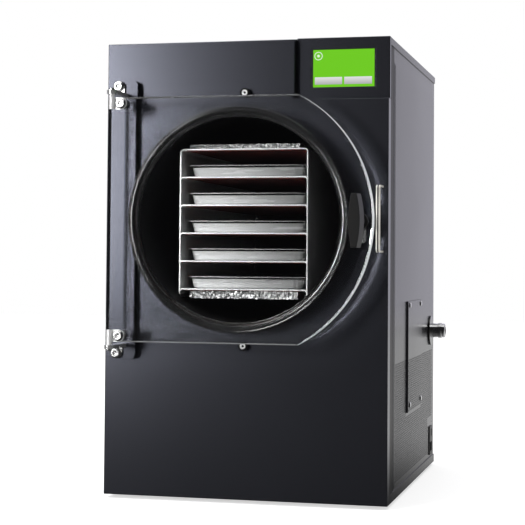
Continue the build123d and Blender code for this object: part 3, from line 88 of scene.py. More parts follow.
# %% Camera
camera_data = bpy.data.cameras.new("portrait_lens")
camera_data.sensor_width = 36
camera_data.lens = 101.04
camera_data.shift_x = -0.0333
camera_data.shift_y = -0.1070
camera_data.clip_end = 50
camera = bpy.data.objects.new("portrait_camera", camera_data)
bpy.context.scene.collection.objects.link(camera)
standpoint = Vector((596.3, -2507.6, 378.8)) * MM
door_front = Vector((0, -0.27, 0.4))
yaw, pitch, roll = radians(13.53), radians(2.146), radians(0.408)
forward = Vector((-sin(yaw) * cos(pitch), cos(yaw) * cos(pitch), sin(pitch)))
level_right = Vector((cos(yaw), sin(yaw), 0))
level_up = level_right.cross(forward)
right = level_right * cos(roll) + level_up * sin(roll)
up = level_up * cos(roll) - level_right * sin(roll)
facing = Matrix((right, up, -forward)).transposed()
camera.matrix_world = Matrix.Translation(standpoint) @ facing.to_4x4()
bpy.context.scene.camera = camera
print("camera stands", round((standpoint - door_front).length, 2), "m from the door")

# %% [markdown]
# ## A small language for finishes
#
# A finish is a Principled surface fed by noise, ramps and bumps. Wiring those nodes by hand
# hides the idea, so two helpers let a finish be written as a sum: a `Signal` is a socket that
# can be added and multiplied, and a `Finish` owns one material and makes its nodes.

# %% Signals that add and multiply
class Signal:
    """The output of a node, ready to take part in sums."""

    def __init__(self, finish, socket):
        self.finish = finish
        self.socket = socket

    def math(self, operation, first, second):
        return self.finish.node("ShaderNodeMath", {"operation": operation}, {0: first, 1: second})

    def __add__(self, other):
        return self.math("ADD", self, other)

    def __mul__(self, other):
        return self.math("MULTIPLY", self, other)

    def __sub__(self, other):
        return self.math("SUBTRACT", self, other)

    def __gt__(self, other):
        return self.math("GREATER_THAN", self, other)

    def __lt__(self, other):
        return self.math("LESS_THAN", self, other)


# %% Finishes
class Finish:
    """One material, its Principled surface and the nodes that feed it."""

    def __init__(self, name, **constants):
        self.material = bpy.data.materials.new(name)
        self.material.use_nodes = True
        self.tree = self.material.node_tree
        self.surface = self.tree.nodes["Principled BSDF"]
        self.output = self.tree.nodes["Material Output"]
        for socket, value in constants.items():
            self.surface.inputs[socket.replace("_", " ")].default_value = value

    def plug(self, socket, value):
        if isinstance(value, Signal):
            self.tree.links.new(value.socket, socket)
        else:
            socket.default_value = value

    def node(self, kind, settings, inputs, output=0):
        made = self.tree.nodes.new(kind)
        for key, value in settings.items():
            setattr(made, key, value)
        for key, value in inputs.items():
            self.plug(made.inputs[key], value)
        return Signal(self, made.outputs[output])

    def feed(self, **signals):
        for socket, value in signals.items():
            self.plug(self.surface.inputs[socket.replace("_", " ")], value)
        return self

    def place(self, scale=(1, 1, 1)):
        point = self.node("ShaderNodeTexCoord", {}, {}, "Object")
        return self.node("ShaderNodeMapping", {}, {"Vector": point, "Scale": scale})

    def axis(self, letter):
        """How far along x, y or z a point lies, in metres."""
        point = self.node("ShaderNodeTexCoord", {}, {}, "Object")
        return self.node("ShaderNodeSeparateXYZ", {}, {0: point}, "XYZ".index(letter))

    def noise(self, size, detail=2.0, stretch=(1, 1, 1)):
        """Soft noise whose patches are about size metres across."""
        inputs = {"Vector": self.place(stretch), "Scale": 1 / size, "Detail": detail}
        return self.node("ShaderNodeTexNoise", {}, inputs)

    def ramp(self, signal, low, high, start=0.0, end=1.0):
        """A number that goes from start to end while the signal goes from low to high."""
        inputs = {"Value": signal, "From Min": low, "From Max": high, "To Min": start, "To Max": end}
        return self.node("ShaderNodeMapRange", {"interpolation_type": "SMOOTHSTEP"}, inputs)

    def blend(self, mask, low, high):
        """A colour that goes from low to high as the mask goes from 0 to 1."""
        return self.node("ShaderNodeMix", {"data_type": "RGBA"}, {0: mask, 6: low, 7: high}, 2)

    def bump(self, height, depth):
        """A normal bent by height; depth is the relief in metres."""
        return self.node("ShaderNodeBump", {}, {"Strength": 1.0, "Distance": depth, "Height": height})


def paint(value, tint=(1, 1, 1)):
    return (value * tint[0], value * tint[1], value * tint[2], 1)


def coat_node(name, finish):
    """Give every slot of a loaded node the finish."""
    node = frame["nodes"][name]
    node.data.materials.clear()
    node.data.materials.append(finish.material)


print("finishes can now be written as sums of signals")

# %% [markdown]
# ## Studio
#
# Black gloss paint shows the room more than itself. So mirrors see a room that is bright behind
# the machine and dark beside and in front of it, and the side panel turns grey towards the
# back. A tall softbox in front on the left puts a soft reflection on the front panel, and two
# lamps above light the rest. The camera itself sees plain white.

# %% World
world = bpy.data.worlds.new("studio_air")
bpy.context.scene.world = world
world.use_nodes = True
air = world.node_tree
light_path = air.nodes.new("ShaderNodeLightPath")
where = air.nodes.new("ShaderNodeTexCoord")
split = air.nodes.new("ShaderNodeSeparateXYZ")
air.links.new(where.outputs["Generated"], split.inputs[0])
fall = air.nodes.new("ShaderNodeMapRange")
fall.interpolation_type = "SMOOTHSTEP"
front_glow, back_glow = 0.022, 0.8
for key, value in {"From Min": 0.0, "From Max": 0.85, "To Min": front_glow, "To Max": back_glow}.items():
    fall.inputs[key].default_value = value
air.links.new(split.outputs["Y"], fall.inputs["Value"])


def air_light(name, strength):
    light = air.nodes.new("ShaderNodeBackground")
    light.name = name
    light.inputs["Color"].default_value = (1, 1, 1, 1)
    light.inputs["Strength"].default_value = strength
    return light


def air_mix(mask, first, second):
    mix = air.nodes.new("ShaderNodeMixShader")
    air.links.new(mask, mix.inputs[0])
    air.links.new(first.outputs[0], mix.inputs[1])
    air.links.new(second.outputs[0], mix.inputs[2])
    return mix


soft_light = air.nodes["Background"]
soft_light.inputs["Color"].default_value = (1, 1, 1, 1)
soft_light.inputs["Strength"].default_value = 0.55
mirrored = air_light("mirrored_room", 1.0)
mirrored.inputs["Color"].default_value = (0.91, 0.895, 1.0, 1)
air.links.new(fall.outputs[0], mirrored.inputs["Strength"])
bounced = air.nodes.new("ShaderNodeMath")
bounced.operation = "MAXIMUM"
air.links.new(light_path.outputs["Is Glossy Ray"], bounced.inputs[0])
air.links.new(light_path.outputs["Is Transmission Ray"], bounced.inputs[1])
room = air_mix(bounced.outputs[0], soft_light, mirrored)
room = air_mix(light_path.outputs["Is Camera Ray"], room, air_light("seen_white", 1.0))
air.links.new(room.outputs[0], air.nodes["World Output"].inputs["Surface"])
print("air nodes:", len(air.nodes))

# %% Floor
bpy.ops.mesh.primitive_plane_add(size=14, location=(0, 0, 0))
floor = bpy.context.object
floor.name = "studio_floor"
pale = Finish("pale_floor", Roughness=0.7, Specular_IOR_Level=0.1)
pale.feed(Base_Color=paint(0.8))
glossy_ray = pale.node("ShaderNodeLightPath", {}, {}, "Is Glossy Ray")
camera_ray = pale.node("ShaderNodeLightPath", {}, {}, "Is Camera Ray")
clear_ray = pale.node("ShaderNodeLightPath", {}, {}, "Is Transmission Ray")
glow_level = camera_ray * 0.5 + 0.1
lift = pale.node("ShaderNodeEmission", {}, {"Color": (1, 1, 1, 1), "Strength": glow_level})
lit = pale.node("ShaderNodeAddShader", {}, {0: Signal(pale, pale.surface.outputs[0]), 1: lift})
room_fall = pale.ramp(pale.axis("Y"), -0.3, 0.8, 0.05, 0.8)
mirror_glow = pale.node("ShaderNodeEmission", {}, {"Color": (1, 1, 1, 1), "Strength": room_fall})
floor_mix = pale.node("ShaderNodeMixShader", {}, {0: glossy_ray + clear_ray, 1: lit, 2: mirror_glow})
pale.plug(pale.output.inputs["Surface"], floor_mix)
floor.data.materials.append(pale.material)


# %% Lamps
def softbox(name, centre, target, width, height, power):
    """A rectangular lamp at centre that faces target; lengths in metres, power in watts."""
    lamp = bpy.data.lights.new(name, "AREA")
    lamp.shape = "RECTANGLE"
    lamp.size = width
    lamp.size_y = height
    lamp.energy = power
    holder = bpy.data.objects.new(name, lamp)
    bpy.context.scene.collection.objects.link(holder)
    holder.location = centre
    aim = Vector(target) - Vector(centre)
    holder.rotation_euler = aim.to_track_quat("-Z", "Y").to_euler()


softbox("left_softbox", (-1.80, -3.37, 0.82), (-1.80, 0, 0.82), 0.84, 1.24, 51)
softbox("high_softbox", (-1.9, -2.2, 2.7), (0, -0.2, 0.4), 1.5, 1.5, 60)
softbox("ceiling_softbox", (0.0, -0.2, 2.9), (0, 0, 0), 2.4, 2.0, 30)
print("lamps:", [lamp.name for lamp in bpy.data.lights])
bpy.context.scene.view_settings.view_transform = "Standard"

# %% [markdown]
# ## Hand tools
#
# A new piece is started from a primitive or from a copy of a solid, shaped in edit mode and
# handed over. Three small tools do this: one picks verts, edges or faces by their place, one
# applies a modifier, and one hands the finished piece to the frame in its solid's stead.

# %% Pick and close
def select_only(piece):
    bpy.ops.object.select_all(action="DESELECT")
    piece.select_set(True)
    bpy.context.view_layer.objects.active = piece


def pick(piece, kind, test=lambda part: True):
    """Open the piece and pick the VERT, EDGE or FACE parts that pass the test."""
    if bpy.context.mode != "EDIT_MESH":
        select_only(piece)
        bpy.ops.object.mode_set(mode="EDIT")
    bpy.ops.mesh.select_mode(type=kind)
    bpy.ops.mesh.select_all(action="DESELECT")
    mesh = bmesh.from_edit_mesh(piece.data)
    every = {"VERT": mesh.verts, "EDGE": mesh.edges, "FACE": mesh.faces}[kind]
    chosen = [part for part in every if test(part)]
    for part in chosen:
        part.select_set(True)
    bmesh.update_edit_mesh(piece.data)
    return len(chosen)


def close():
    if bpy.context.mode == "EDIT_MESH":
        bpy.ops.object.mode_set(mode="OBJECT")


def middle(part):
    """The middle of an edge or a face."""
    corners = [corner.co for corner in part.verts]
    return sum(corners, Vector()) / len(corners)


def in_box(spot, box):
    """Whether a spot on an upright sheet lies in the box (y0, y1, z0, z1)."""
    return box[0] < spot.y < box[1] and box[2] < spot.z < box[3]


# %% Start, modify and hand over
def start(name, scale=(1, 1, 1)):
    """Name a new primitive."""
    piece = bpy.context.object
    piece.name = name
    piece.scale = scale
    bpy.ops.object.transform_apply(location=True, rotation=True, scale=True)
    return piece


def apply_modifier(piece, kind, **settings):
    close()
    select_only(piece)
    bpy.ops.object.modifier_add(type=kind)
    modifier = piece.modifiers[-1]
    for key, value in settings.items():
        setattr(modifier, key, value)
    bpy.ops.object.modifier_apply(modifier=modifier.name)


def hand_over(piece, finish, *nodes, smooth=35):
    """Smooth and coat the piece and let it stand for its solids."""
    close()
    select_only(piece)
    bpy.ops.object.shade_smooth_by_angle(angle=radians(smooth))
    apply_modifier(piece, "WEIGHTED_NORMAL", keep_sharp=True)
    if finish:
        piece.data.materials.clear()
        piece.data.materials.append(finish.material)
    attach(piece, body_of(frame["nodes"][nodes[0]])[0])
    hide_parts(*nodes)
    return piece


# %% Copies
def solid_copy(node, name):
    """A copy of a solid's mesh with its triangles merged into plain faces."""
    piece = bpy.data.objects.new(name, frame["nodes"][node].data.copy())
    bpy.context.scene.collection.objects.link(piece)
    select_only(piece)
    bpy.ops.mesh.customdata_custom_splitnormals_clear()
    pick(piece, "VERT")
    bpy.ops.mesh.remove_doubles(threshold=WELD)
    bpy.ops.mesh.select_all(action="SELECT")
    bpy.ops.mesh.dissolve_limited(angle_limit=radians(0.5))
    close()
    return piece


def softened(node, width, segments, finish, sharp=28):
    """A solid with every sharp edge rounded; the width is in millimetres."""
    piece = solid_copy(node, "rounded_" + node)
    limits = {"limit_method": "ANGLE", "angle_limit": radians(sharp)}
    apply_modifier(piece, "BEVEL", width=width * MM, segments=segments, **limits)
    return hand_over(piece, finish, node, smooth=40)


def moved_copy(piece, name, shift):
    """Another piece of the same shape with a mesh of its own."""
    twin = bpy.data.objects.new(name, piece.data.copy())
    twin.data.transform(Matrix.Translation(shift))
    bpy.context.scene.collection.objects.link(twin)
    return twin


print("tools ready")

# %% [markdown]
# ## Paint
#
# The cabinet is powder coated. The front is glossy with a faint orange peel; the covers have a
# finer skin, and the side's front return is duller still. Paint varies very little, so slow
# noise moves the near-black colour and the shine a little, and a fine noise gives the grain.

# %% Powder coats
cold_black = (0.95, 0.97, 1.15)
cover_black = (0.97, 0.96, 1.1)
gloss_black = Finish("gloss_black_powder", Specular_IOR_Level=1.0, Specular_Tint=(0.80, 0.83, 1.0, 1))
peel = gloss_black.noise(0.0016, 2.0)
smear = gloss_black.noise(0.25, 2.0)
gloss_black.feed(
    Base_Color=gloss_black.blend(smear, paint(0.0055, cold_black), paint(0.0075, cold_black)),
    Roughness=smear * 0.02 + 0.225,
    Normal=gloss_black.bump(peel, 0.000003),
)
satin_black = Finish(
    "satin_black_powder", Specular_IOR_Level=0.2, Specular_Tint=(0.9, 0.9, 1.0, 1), Coat_Roughness=0.2
)
grain = satin_black.noise(0.0015, 2.0)
patch = satin_black.noise(0.18, 2.0)
satin_black.feed(
    Base_Color=satin_black.blend(patch, paint(0.013, cover_black), paint(0.018, cover_black)),
    Roughness=patch * 0.05 + 0.21,
    Coat_Weight=satin_black.ramp(satin_black.axis("Y"), -0.27, 0.2, 0.0, 0.2),
    Normal=satin_black.bump(grain, 0.000006),
)
return_black = Finish("return_black_powder", Specular_IOR_Level=0.06)
return_black.feed(Base_Color=paint(0.012), Roughness=return_black.noise(0.1) * 0.05 + 0.3)
frame_black = Finish("frame_black")
frame_cloud = frame_black.noise(0.05)
frame_black.feed(
    Base_Color=frame_black.blend(frame_cloud, paint(0.008), paint(0.013)),
    Roughness=frame_cloud * 0.1 + 0.5,
)
for name in ("top_cover", "base_pan", "left_side_panel", "back_panel"):
    coat_node(name, satin_black)
for name in ("cabinet_frame", "compressor", "fan_motor"):
    coat_node(name, frame_black)

# %% [markdown]
# ## Metal
#
# Steel pieces differ by how they were finished: bent sheet is brushed, pressed trays have
# a soft mill sheen, and screws are turned. One recipe makes most of them, with the direction
# of the brushing, the roughness and the colour as its settings.

# %% Metals
def metal(name, value, roughness, lines=(1, 1, 1), wear=0.06, tint=(1, 1, 1), purity=1.0, relief=0.000005):
    """Metal with fine brushing along one axis and slow changes in its shine."""
    finish = Finish(name, Metallic=purity)
    brushing = finish.noise(0.003, 3.0, lines)
    cloud = finish.noise(0.03, 2.0)
    finish.feed(
        Base_Color=finish.blend(cloud, paint(value, tint), paint(value * 0.86, tint)),
        Roughness=brushing * wear + roughness,
        Normal=finish.bump(brushing, relief),
    )
    return finish


rack_steel = metal("rack_steel", 0.9, 0.28, (0.05, 0.02, 1), purity=0.6, relief=0.0000005)
satin_steel = metal("satin_steel", 0.9, 0.26, wear=0.08, purity=0.55, relief=0.000002)
hinge_steel = metal("hinge_steel", 0.85, 0.2, purity=0.85)
stainless = metal("stainless", 0.72, 0.16, (1, 1, 8))
bright_steel = metal("bright_steel", 0.84, 0.10, wear=0.04)
screw_steel = metal("screw_steel", 0.72, 0.18)
zinc = metal("zinc_plate", 0.5, 0.36, wear=0.12)
for name in ("leaf_nuts", "strike_nuts", "latch_nut", "latch_bushing_nut"):
    coat_node(name, screw_steel)
for name in ("chamber_deck", "chamber_saddles", "fan_shroud"):
    coat_node(name, zinc)
for name in ("hinge_pins", "latch_shaft", "latch_cam"):
    coat_node(name, stainless)
coat_node("condenser", metal("condenser_fins", 0.6, 0.34, (1, 30, 1), 0.1))
coat_node("drain_valve_body", metal("valve_brass", 0.75, 0.26, tint=(1, 0.73, 0.38)))

# %% [markdown]
# Three steel finishes also carry painted light and shade. The trays are painted bright on the
# left and darker to the right, and a painted shadow lies in a band under each rim. The sockets
# of the two door stops are darkened with painted shade. The strike has a painted line of shade
# down its middle. These are colour only, so they change no shape.

# %% Steel with painted shades
first_rim_z = 0.3545  # about the top of the lowest tray
tray_pitch = 0.0441
band_start, band_end = 0.91, 0.974  # the dark band, as a share of the pitch
tray_steel = Finish("tray_steel", Metallic=0.2)
streaks = tray_steel.noise(0.006, 2.0, (0.06, 0.06, 1))
# painted light and shade: the trays' colour goes from bright on the left to dark on the right
to_right = tray_steel.ramp(tray_steel.axis("X"), -0.09, 0.09)
shelves_up = (tray_steel.axis("Z") - first_rim_z) * (1 / tray_pitch)
below_rim = tray_steel.node("ShaderNodeMath", {"operation": "FRACT"}, {0: shelves_up})
# painted shadow: a dark band of colour just under each tray's rim, where the rim shades the wall
painted_rim_shadow = (below_rim > band_start) * (below_rim < band_end)
# painted light: the base colour is lit on the left and shaded on the right
painted_light_sweep = tray_steel.blend(to_right, paint(1.0), paint(0.22))
painted_light_sweep = tray_steel.blend(streaks * 0.5, painted_light_sweep, paint(0.45))
tray_steel.feed(
    Base_Color=tray_steel.blend(painted_rim_shadow, painted_light_sweep, paint(0.015)),
    Roughness=streaks * 0.12 + 0.2,
)
stops_x, stops_middle_z, stop_rise = 0.0015, 0.445, 0.1988
socket_radius = 0.0018
bumper_steel = Finish("bumper_steel", Metallic=0.5)
aside = bumper_steel.axis("X") - stops_x
from_middle = {0: bumper_steel.axis("Z") - stops_middle_z}
above = bumper_steel.node("ShaderNodeMath", {"operation": "ABSOLUTE"}, from_middle) - stop_rise
# painted shade: a dark disc of colour over each door stop's socket
socket = (aside * aside + above * above) < socket_radius ** 2
bumper_steel.feed(
    Base_Color=bumper_steel.blend(socket, paint(0.9), paint(0.01)),
    Roughness=bumper_steel.noise(0.01) * 0.1 + 0.2,
)
line_left, line_right = 0.2172, 0.2194
cream_steel = Finish("cream_steel", Metallic=0.3)
# painted shade: a dark line of colour down the middle of the strike's face
painted_strike_shade = (cream_steel.axis("X") > line_left) * (cream_steel.axis("X") < line_right)
cream_steel.feed(
    Base_Color=cream_steel.blend(painted_strike_shade, paint(0.95, (1, 0.96, 0.88)), paint(0.03)),
    Roughness=cream_steel.noise(0.01) * 0.1 + 0.16,
)
print("steel finishes with painted shades: 3")

# %% [markdown]
# ## Rubber and plastic
#
# Moulded pieces take the mould's own fine skin. The same recipe serves rubber and plastic;
# only the colour, the shine and the relief differ.

# %% Mouldings
def moulded(name, value, roughness, tint=(1, 1, 1), relief=0.00001):
    """Moulded rubber or plastic with a fine mould texture."""
    finish = Finish(name)
    fine = finish.noise(0.0008, 2.0)
    cloud = finish.noise(0.04, 2.0)
    finish.feed(
        Base_Color=finish.blend(cloud, paint(value, tint), paint(value * 0.8, tint)),
        Roughness=cloud * 0.06 + roughness,
        Normal=finish.bump(fine, relief),
    )
    return finish


gasket_rubber = moulded("gasket_rubber", 0.006, 0.12, relief=0.000002)
gasket_rubber.feed(Specular_IOR_Level=1.0)
matt_rubber = moulded("matt_rubber", 0.012, 0.45)
dull_rubber = moulded("dull_rubber", 0.006, 0.6)
dull_rubber.feed(Specular_IOR_Level=0.08)
black_plastic = moulded("black_plastic", 0.012, 0.34, relief=0.000006)
black_plastic.feed(Specular_IOR_Level=0.16)
for name in ("rubber_feet", "rack_feet", "compressor_mounts"):
    coat_node(name, matt_rubber)
coat_node("power_rocker", black_plastic)
coat_node("insulation_jacket", moulded("foam_jacket", 0.03, 0.8))
coat_node("condenser_fan", moulded("fan_plastic", 0.5, 0.4))
coat_node("drain_valve_lever", moulded("lever_vinyl", 0.5, 0.35, (1, 0.06, 0.05)))
hose_vinyl = moulded("hose_vinyl", 0.55, 0.25, (1, 0.98, 0.9))
for name in ("vacuum_hose", "drain_hose"):
    coat_node(name, hose_vinyl)

# %% Drum lining and heaters
drum_dark = Finish("drum_lining", Metallic=0.6)
drum_cloud = drum_dark.noise(0.06, 3.0)
drum_dark.feed(
    Base_Color=drum_dark.blend(drum_cloud, paint(0.014), paint(0.026)),
    Roughness=drum_cloud * 0.1 + 0.26,
)
for name in ("vacuum_chamber", "chamber_head"):
    coat_node(name, drum_dark)
heater = Finish("heater_silicone")
heater_cloud = heater.noise(0.03)
heater.feed(
    Base_Color=heater.blend(heater_cloud, (0.20, 0.022, 0.014, 1), (0.13, 0.014, 0.010, 1)),
    Roughness=heater_cloud * 0.1 + 0.42,
)
coat_node("heater_mats", heater)

# %% [markdown]
# ## Edges that catch the light
#
# Sheet metal and mouldings have no truly sharp edge. The small round along an edge is what
# draws the thin bright lines on a black machine. So these pieces are copied from their solids
# and every sharp edge gets a bevel, whose width is in millimetres. The strike is then made
# narrower about its own middle, to 0.7 of the width of its solid.

# %% Rounded edges
rounded = {
    "front_panel": (1.3, 3, gloss_black),
    "display_housing": (1.7, 3, gloss_black),
    "hinge_bar": (1.2, 3, gloss_black),
    "hinge_brackets": (0.7, 2, hinge_steel),
    "hinge_leaves": (0.8, 2, satin_steel),
    "bar_screws": (0.9, 3, screw_steel),
    "leaf_screws": (0.9, 3, screw_steel),
    "bumper_rings": (0.5, 3, dull_rubber),
    "bumper_screws": (0.6, 2, bumper_steel),
    "strike": (1.6, 4, cream_steel),
    "latch_handle": (4.5, 6, black_plastic),
    "latch_bushing": (0.8, 3, black_plastic),
    "shelf_rack": (0.45, 2, rack_steel),
    "vacuum_fitting": (1.2, 4, bright_steel),
    "port_grommet": (2.0, 5, gasket_rubber),
    "access_cover_screws": (0.5, 2, screw_steel),
    "power_inlet": (0.6, 2, black_plastic),
}
for name, (width, segments, finish) in rounded.items():
    piece = softened(name, width, segments, finish)
    print(piece.name, "faces:", len(piece.data.polygons))
strike = bpy.data.objects["rounded_strike"]
strike_centre = sum(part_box("strike"), Vector()) / 2
strike_narrowing = (0.7, 1, 1)
pick(strike, "VERT")
bpy.ops.mesh.select_all(action="SELECT")
bpy.ops.transform.resize(value=strike_narrowing, center_override=strike_centre)
close()

# %% [markdown]
# ## Door
#
# The door is one thick plate of clear acrylic. Its flat faces, its top edge and its left edge
# are polished. The long arc is sawn and sanded, so it shows as a pale line, and a faint
# painted glow makes that line brighter. The bottom edge is left dull from the saw, with its
# chamfers, or it would draw a bright line of floor through the plate.

# %% Clear and frosted acrylic
acrylic = Finish("clear_acrylic", Roughness=0.0, IOR=1.49, Transmission_Weight=1.0)
acrylic.feed(Base_Color=(0.985, 0.99, 0.99, 1))
shadow_ray = acrylic.node("ShaderNodeLightPath", {}, {}, "Is Shadow Ray")
passing = acrylic.node("ShaderNodeBsdfTransparent", {}, {"Color": (0.93, 0.94, 0.94, 1)})
parts = {0: shadow_ray, 1: Signal(acrylic, acrylic.surface.outputs[0]), 2: passing}
acrylic.plug(acrylic.output.inputs["Surface"], acrylic.node("ShaderNodeMixShader", {}, parts))
# the sanded arc is really pale; its faint emission is painted light that makes the line glow
frosted = Finish("frosted_edge_painted_glow", IOR=1.49, Emission_Color=(0.93, 0.97, 1, 1), Emission_Strength=0.15)
saw_marks = frosted.noise(0.002, 3.0)
pale_blue = (0.94, 0.98, 1)
frosted.feed(
    Base_Color=frosted.blend(saw_marks, paint(0.86, pale_blue), paint(0.95, pale_blue)),
    Roughness=saw_marks * 0.1 + 0.2,
)
sawn = Finish("sawn_edge", Specular_IOR_Level=0.0)
sawn.feed(Base_Color=paint(0.2), Roughness=sawn.noise(0.002, 3.0) * 0.1 + 0.5)
print("door finishes:", acrylic.material.name, frosted.material.name, sawn.material.name)

# %% Dress the door
arc_from_x = 0.02
bottom_below_z = 0.254
door = solid_copy("door_panel", "clear_door")
door.data.materials.clear()
for finish in (acrylic, frosted, sawn):
    door.data.materials.append(finish.material)


def door_finish(face):
    """Which of the three finishes a face of the door gets."""
    if face.normal.z < -0.6 and abs(face.normal.x) < 0.01 and face.center.z < bottom_below_z:
        return 2
    on_arc = abs(face.normal.y) < 0.1 and face.normal.x > 0.3 and face.center.x > arc_from_x
    return 1 if on_arc else 0


for face in door.data.polygons:
    face.material_index = door_finish(face)
finish_counts = [sum(face.material_index == index for face in door.data.polygons) for index in range(3)]
hand_over(door, None, "door_panel", smooth=30)
print("door faces that are clear, frosted and sawn:", finish_counts)

# %% [markdown]
# ## Gasket
#
# The door seals on a moulded rubber ring. Its section has a long foot, a neck and a lip. The
# lip's face rises gently outwards to a shallow groove and an outer ridge. The section is drawn
# point by point by extruding a single corner, and then spun round the drum's axis.

# %% Turned pieces
def turned(name, profile, centre, axis, steps):
    """Extrude one corner along the profile's points and spin the line round the axis."""
    bpy.ops.mesh.primitive_plane_add(size=0.001, location=profile[0])
    piece = start(name)
    pick(piece, "VERT")
    bpy.ops.mesh.merge(type="CENTER")
    for here, there in zip(profile, profile[1:]):
        step = [b - a for a, b in zip(here, there)]
        bpy.ops.mesh.extrude_region_move(TRANSFORM_OT_translate={"value": step})
    bpy.ops.mesh.select_all(action="SELECT")
    bpy.ops.mesh.spin(steps=steps, angle=2 * pi, center=centre, axis=axis)
    bpy.ops.mesh.select_all(action="SELECT")
    bpy.ops.mesh.remove_doubles(threshold=WELD)
    bpy.ops.mesh.normals_make_consistent(inside=False)
    close()
    return piece


# %% Gasket ring
ring_low, ring_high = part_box("door_gasket")
ring_middle = (ring_low + ring_high) / 2
section = (
    (160.5, 12), (162.4, 11), (163.1, 8), (163.5, 4.5), (164.1, 2.4), (165.3, 1.45), (168, 0.95),
    (170.3, 0.55), (171.3, 1.2), (172.3, 1.2), (173.3, 0.3), (174.3, 0.2), (175.2, 1), (175.5, 3),
    (175.5, 10), (174.5, 13), (172, 15), (171.2, 17), (171, 41.9), (163.2, 42), (163.2, 14.1),
    (160.5, 14.1), (160.5, 12),
)  # radius and depth behind the lip, in millimetres
ring_points = [(0, ring_low.y + depth * MM, ring_middle.z + radius * MM) for radius, depth in section]
gasket = turned("gasket_ring", ring_points, (0, ring_low.y, ring_middle.z), (0, 1, 0), 96)
hand_over(gasket, gasket_rubber, "door_gasket", smooth=50)
print("gasket faces:", len(gasket.data.polygons))

# %% [markdown]
# ## Trays
#
# A tray is pressed from one sheet: a floor, sloping walls and a flat rim whose edge is turned
# down. It is drawn from the rim downwards. The rim's outline is a plane with its corners
# bevelled, the inset leaves the rim, and the inner face is extruded down and made smaller.

# %% Press one tray
tray_low, tray_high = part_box("tray_1")
tray_middle = (tray_low + tray_high) / 2
tray_size = tray_high - tray_low
sheet = 0.8 * MM
rim_width = 5 * MM
taper = 3.4 * MM
corner_radius = 20 * MM
rim_drop = 1.1 * MM
floor_bend, rim_bend = 4 * MM, 1 * MM
bpy.ops.mesh.primitive_plane_add(size=1, location=(tray_middle.x, tray_middle.y, tray_high.z))
tray = start("pressed_tray_1", (tray_size.x, tray_size.y, 1))
pick(tray, "VERT")
bpy.ops.mesh.bevel(offset=corner_radius, segments=10, affect="VERTICES")
bpy.ops.mesh.select_mode(type="FACE")
bpy.ops.mesh.select_all(action="SELECT")
bpy.ops.mesh.inset(thickness=rim_width)
mouth_x, mouth_y = tray_size.x - 2 * rim_width, tray_size.y - 2 * rim_width
floor_scale = (1 - 2 * taper / mouth_x, 1 - 2 * taper / mouth_y, 1)
bpy.ops.mesh.extrude_region_move(TRANSFORM_OT_translate={"value": (0, 0, sheet - tray_size.z)})
bpy.ops.transform.resize(value=floor_scale, center_override=tray_middle)
print("rim to floor:", round(tray_size.z * 1000, 1), "mm")


# %% Turn the rim down and round the bends
def bend_between(low, high):
    """A test for edges between two heights where the sheet changes direction."""

    def is_bend(edge):
        turn = abs(edge.link_faces[0].normal.z - edge.link_faces[-1].normal.z)
        return all(low < corner.co.z < high for corner in edge.verts) and turn > 0.3

    return is_bend


pick(tray, "EDGE", lambda edge: edge.is_boundary)
bpy.ops.mesh.extrude_region_move(TRANSFORM_OT_translate={"value": (0, 0, -rim_drop)})
print("floor bend:", pick(tray, "EDGE", bend_between(tray_low.z, tray_low.z + 1 * MM)))
bpy.ops.mesh.bevel(offset=floor_bend, segments=4, affect="EDGES")
print("rim bends:", pick(tray, "EDGE", bend_between(tray_high.z - 0.1 * MM, tray_high.z + 0.1 * MM)))
bpy.ops.mesh.bevel(offset=rim_bend, segments=3, affect="EDGES")
apply_modifier(tray, "SOLIDIFY", thickness=sheet, offset=-1)
for number in range(2, 6):
    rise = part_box(f"tray_{number}")[0] - tray_low
    hand_over(moved_copy(tray, f"pressed_tray_{number}", rise), tray_steel, f"tray_{number}", smooth=50)
hand_over(tray, tray_steel, "tray_1", smooth=50)
print("tray faces:", len(tray.data.polygons))

# %% [markdown]
# ## Foil
#
# The insulating pads above and below the rack are wrapped in kitchen-like foil. Crumpled foil
# is a field of small flat facets at odd angles, so a block is cut into a fine grid and its
# corners are shaken by under a millimetre. Only very slight bends are shaded smooth, so most
# facets stay small mirrors.

# %% Crumpled pads
foil = Finish("crinkled_foil", Metallic=1.0)
foil_cloud = foil.noise(0.012, 3.0)
foil.feed(Base_Color=foil.blend(foil_cloud, paint(0.7), paint(0.3)), Roughness=foil_cloud * 0.1 + 0.3)
cuts = {"X": 110, "Y": 110, "Z": 4}
for name, shake in (("foil_pad_top", 0.8), ("foil_pad_bottom", 0.7)):
    low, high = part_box(name)
    margin = Vector((shake, shake, shake)) * MM
    low, high = low + margin, high - margin
    bpy.ops.mesh.primitive_cube_add(size=1, location=(low + high) / 2)
    pad = start("crumpled_" + name, high - low)
    for letter, count in cuts.items():
        along = "XYZ".index(letter)
        pick(pad, "EDGE", lambda edge: abs((edge.verts[1].co - edge.verts[0].co).normalized()[along]) > 0.99)
        bpy.ops.mesh.subdivide(number_cuts=count)
    bpy.ops.mesh.select_all(action="SELECT")
    bpy.ops.transform.vertex_random(offset=shake * MM, uniform=1.0, normal=0.0, seed=7)
    hand_over(pad, foil, name, smooth=8)
    print(pad.name, "faces:", len(pad.data.polygons))

# %% [markdown]
# ## Vented side
#
# The lower part of the right side is pierced with small holes in a staggered pattern. Over two
# thousand holes would be slow to draw one by one. So one tile with two holes is made, two
# array modifiers repeat it, and the tiles in the way of the cover and the mains inlet are
# deleted. The plain sheet round them is drawn with bisects and an inset for the raised field.

# %% One tile of holes
half_cell = 1.8 * MM
tile = 4 * half_cell
skin_t = 1.5 * MM
touching = 0.2 * MM
hole_margin = 0.12 * MM
hole_corners = (2.2 * MM, 2.45 * MM)  # how far the hole's corners lie from its middle
corner_pull = (1, 0.76, 0.76)


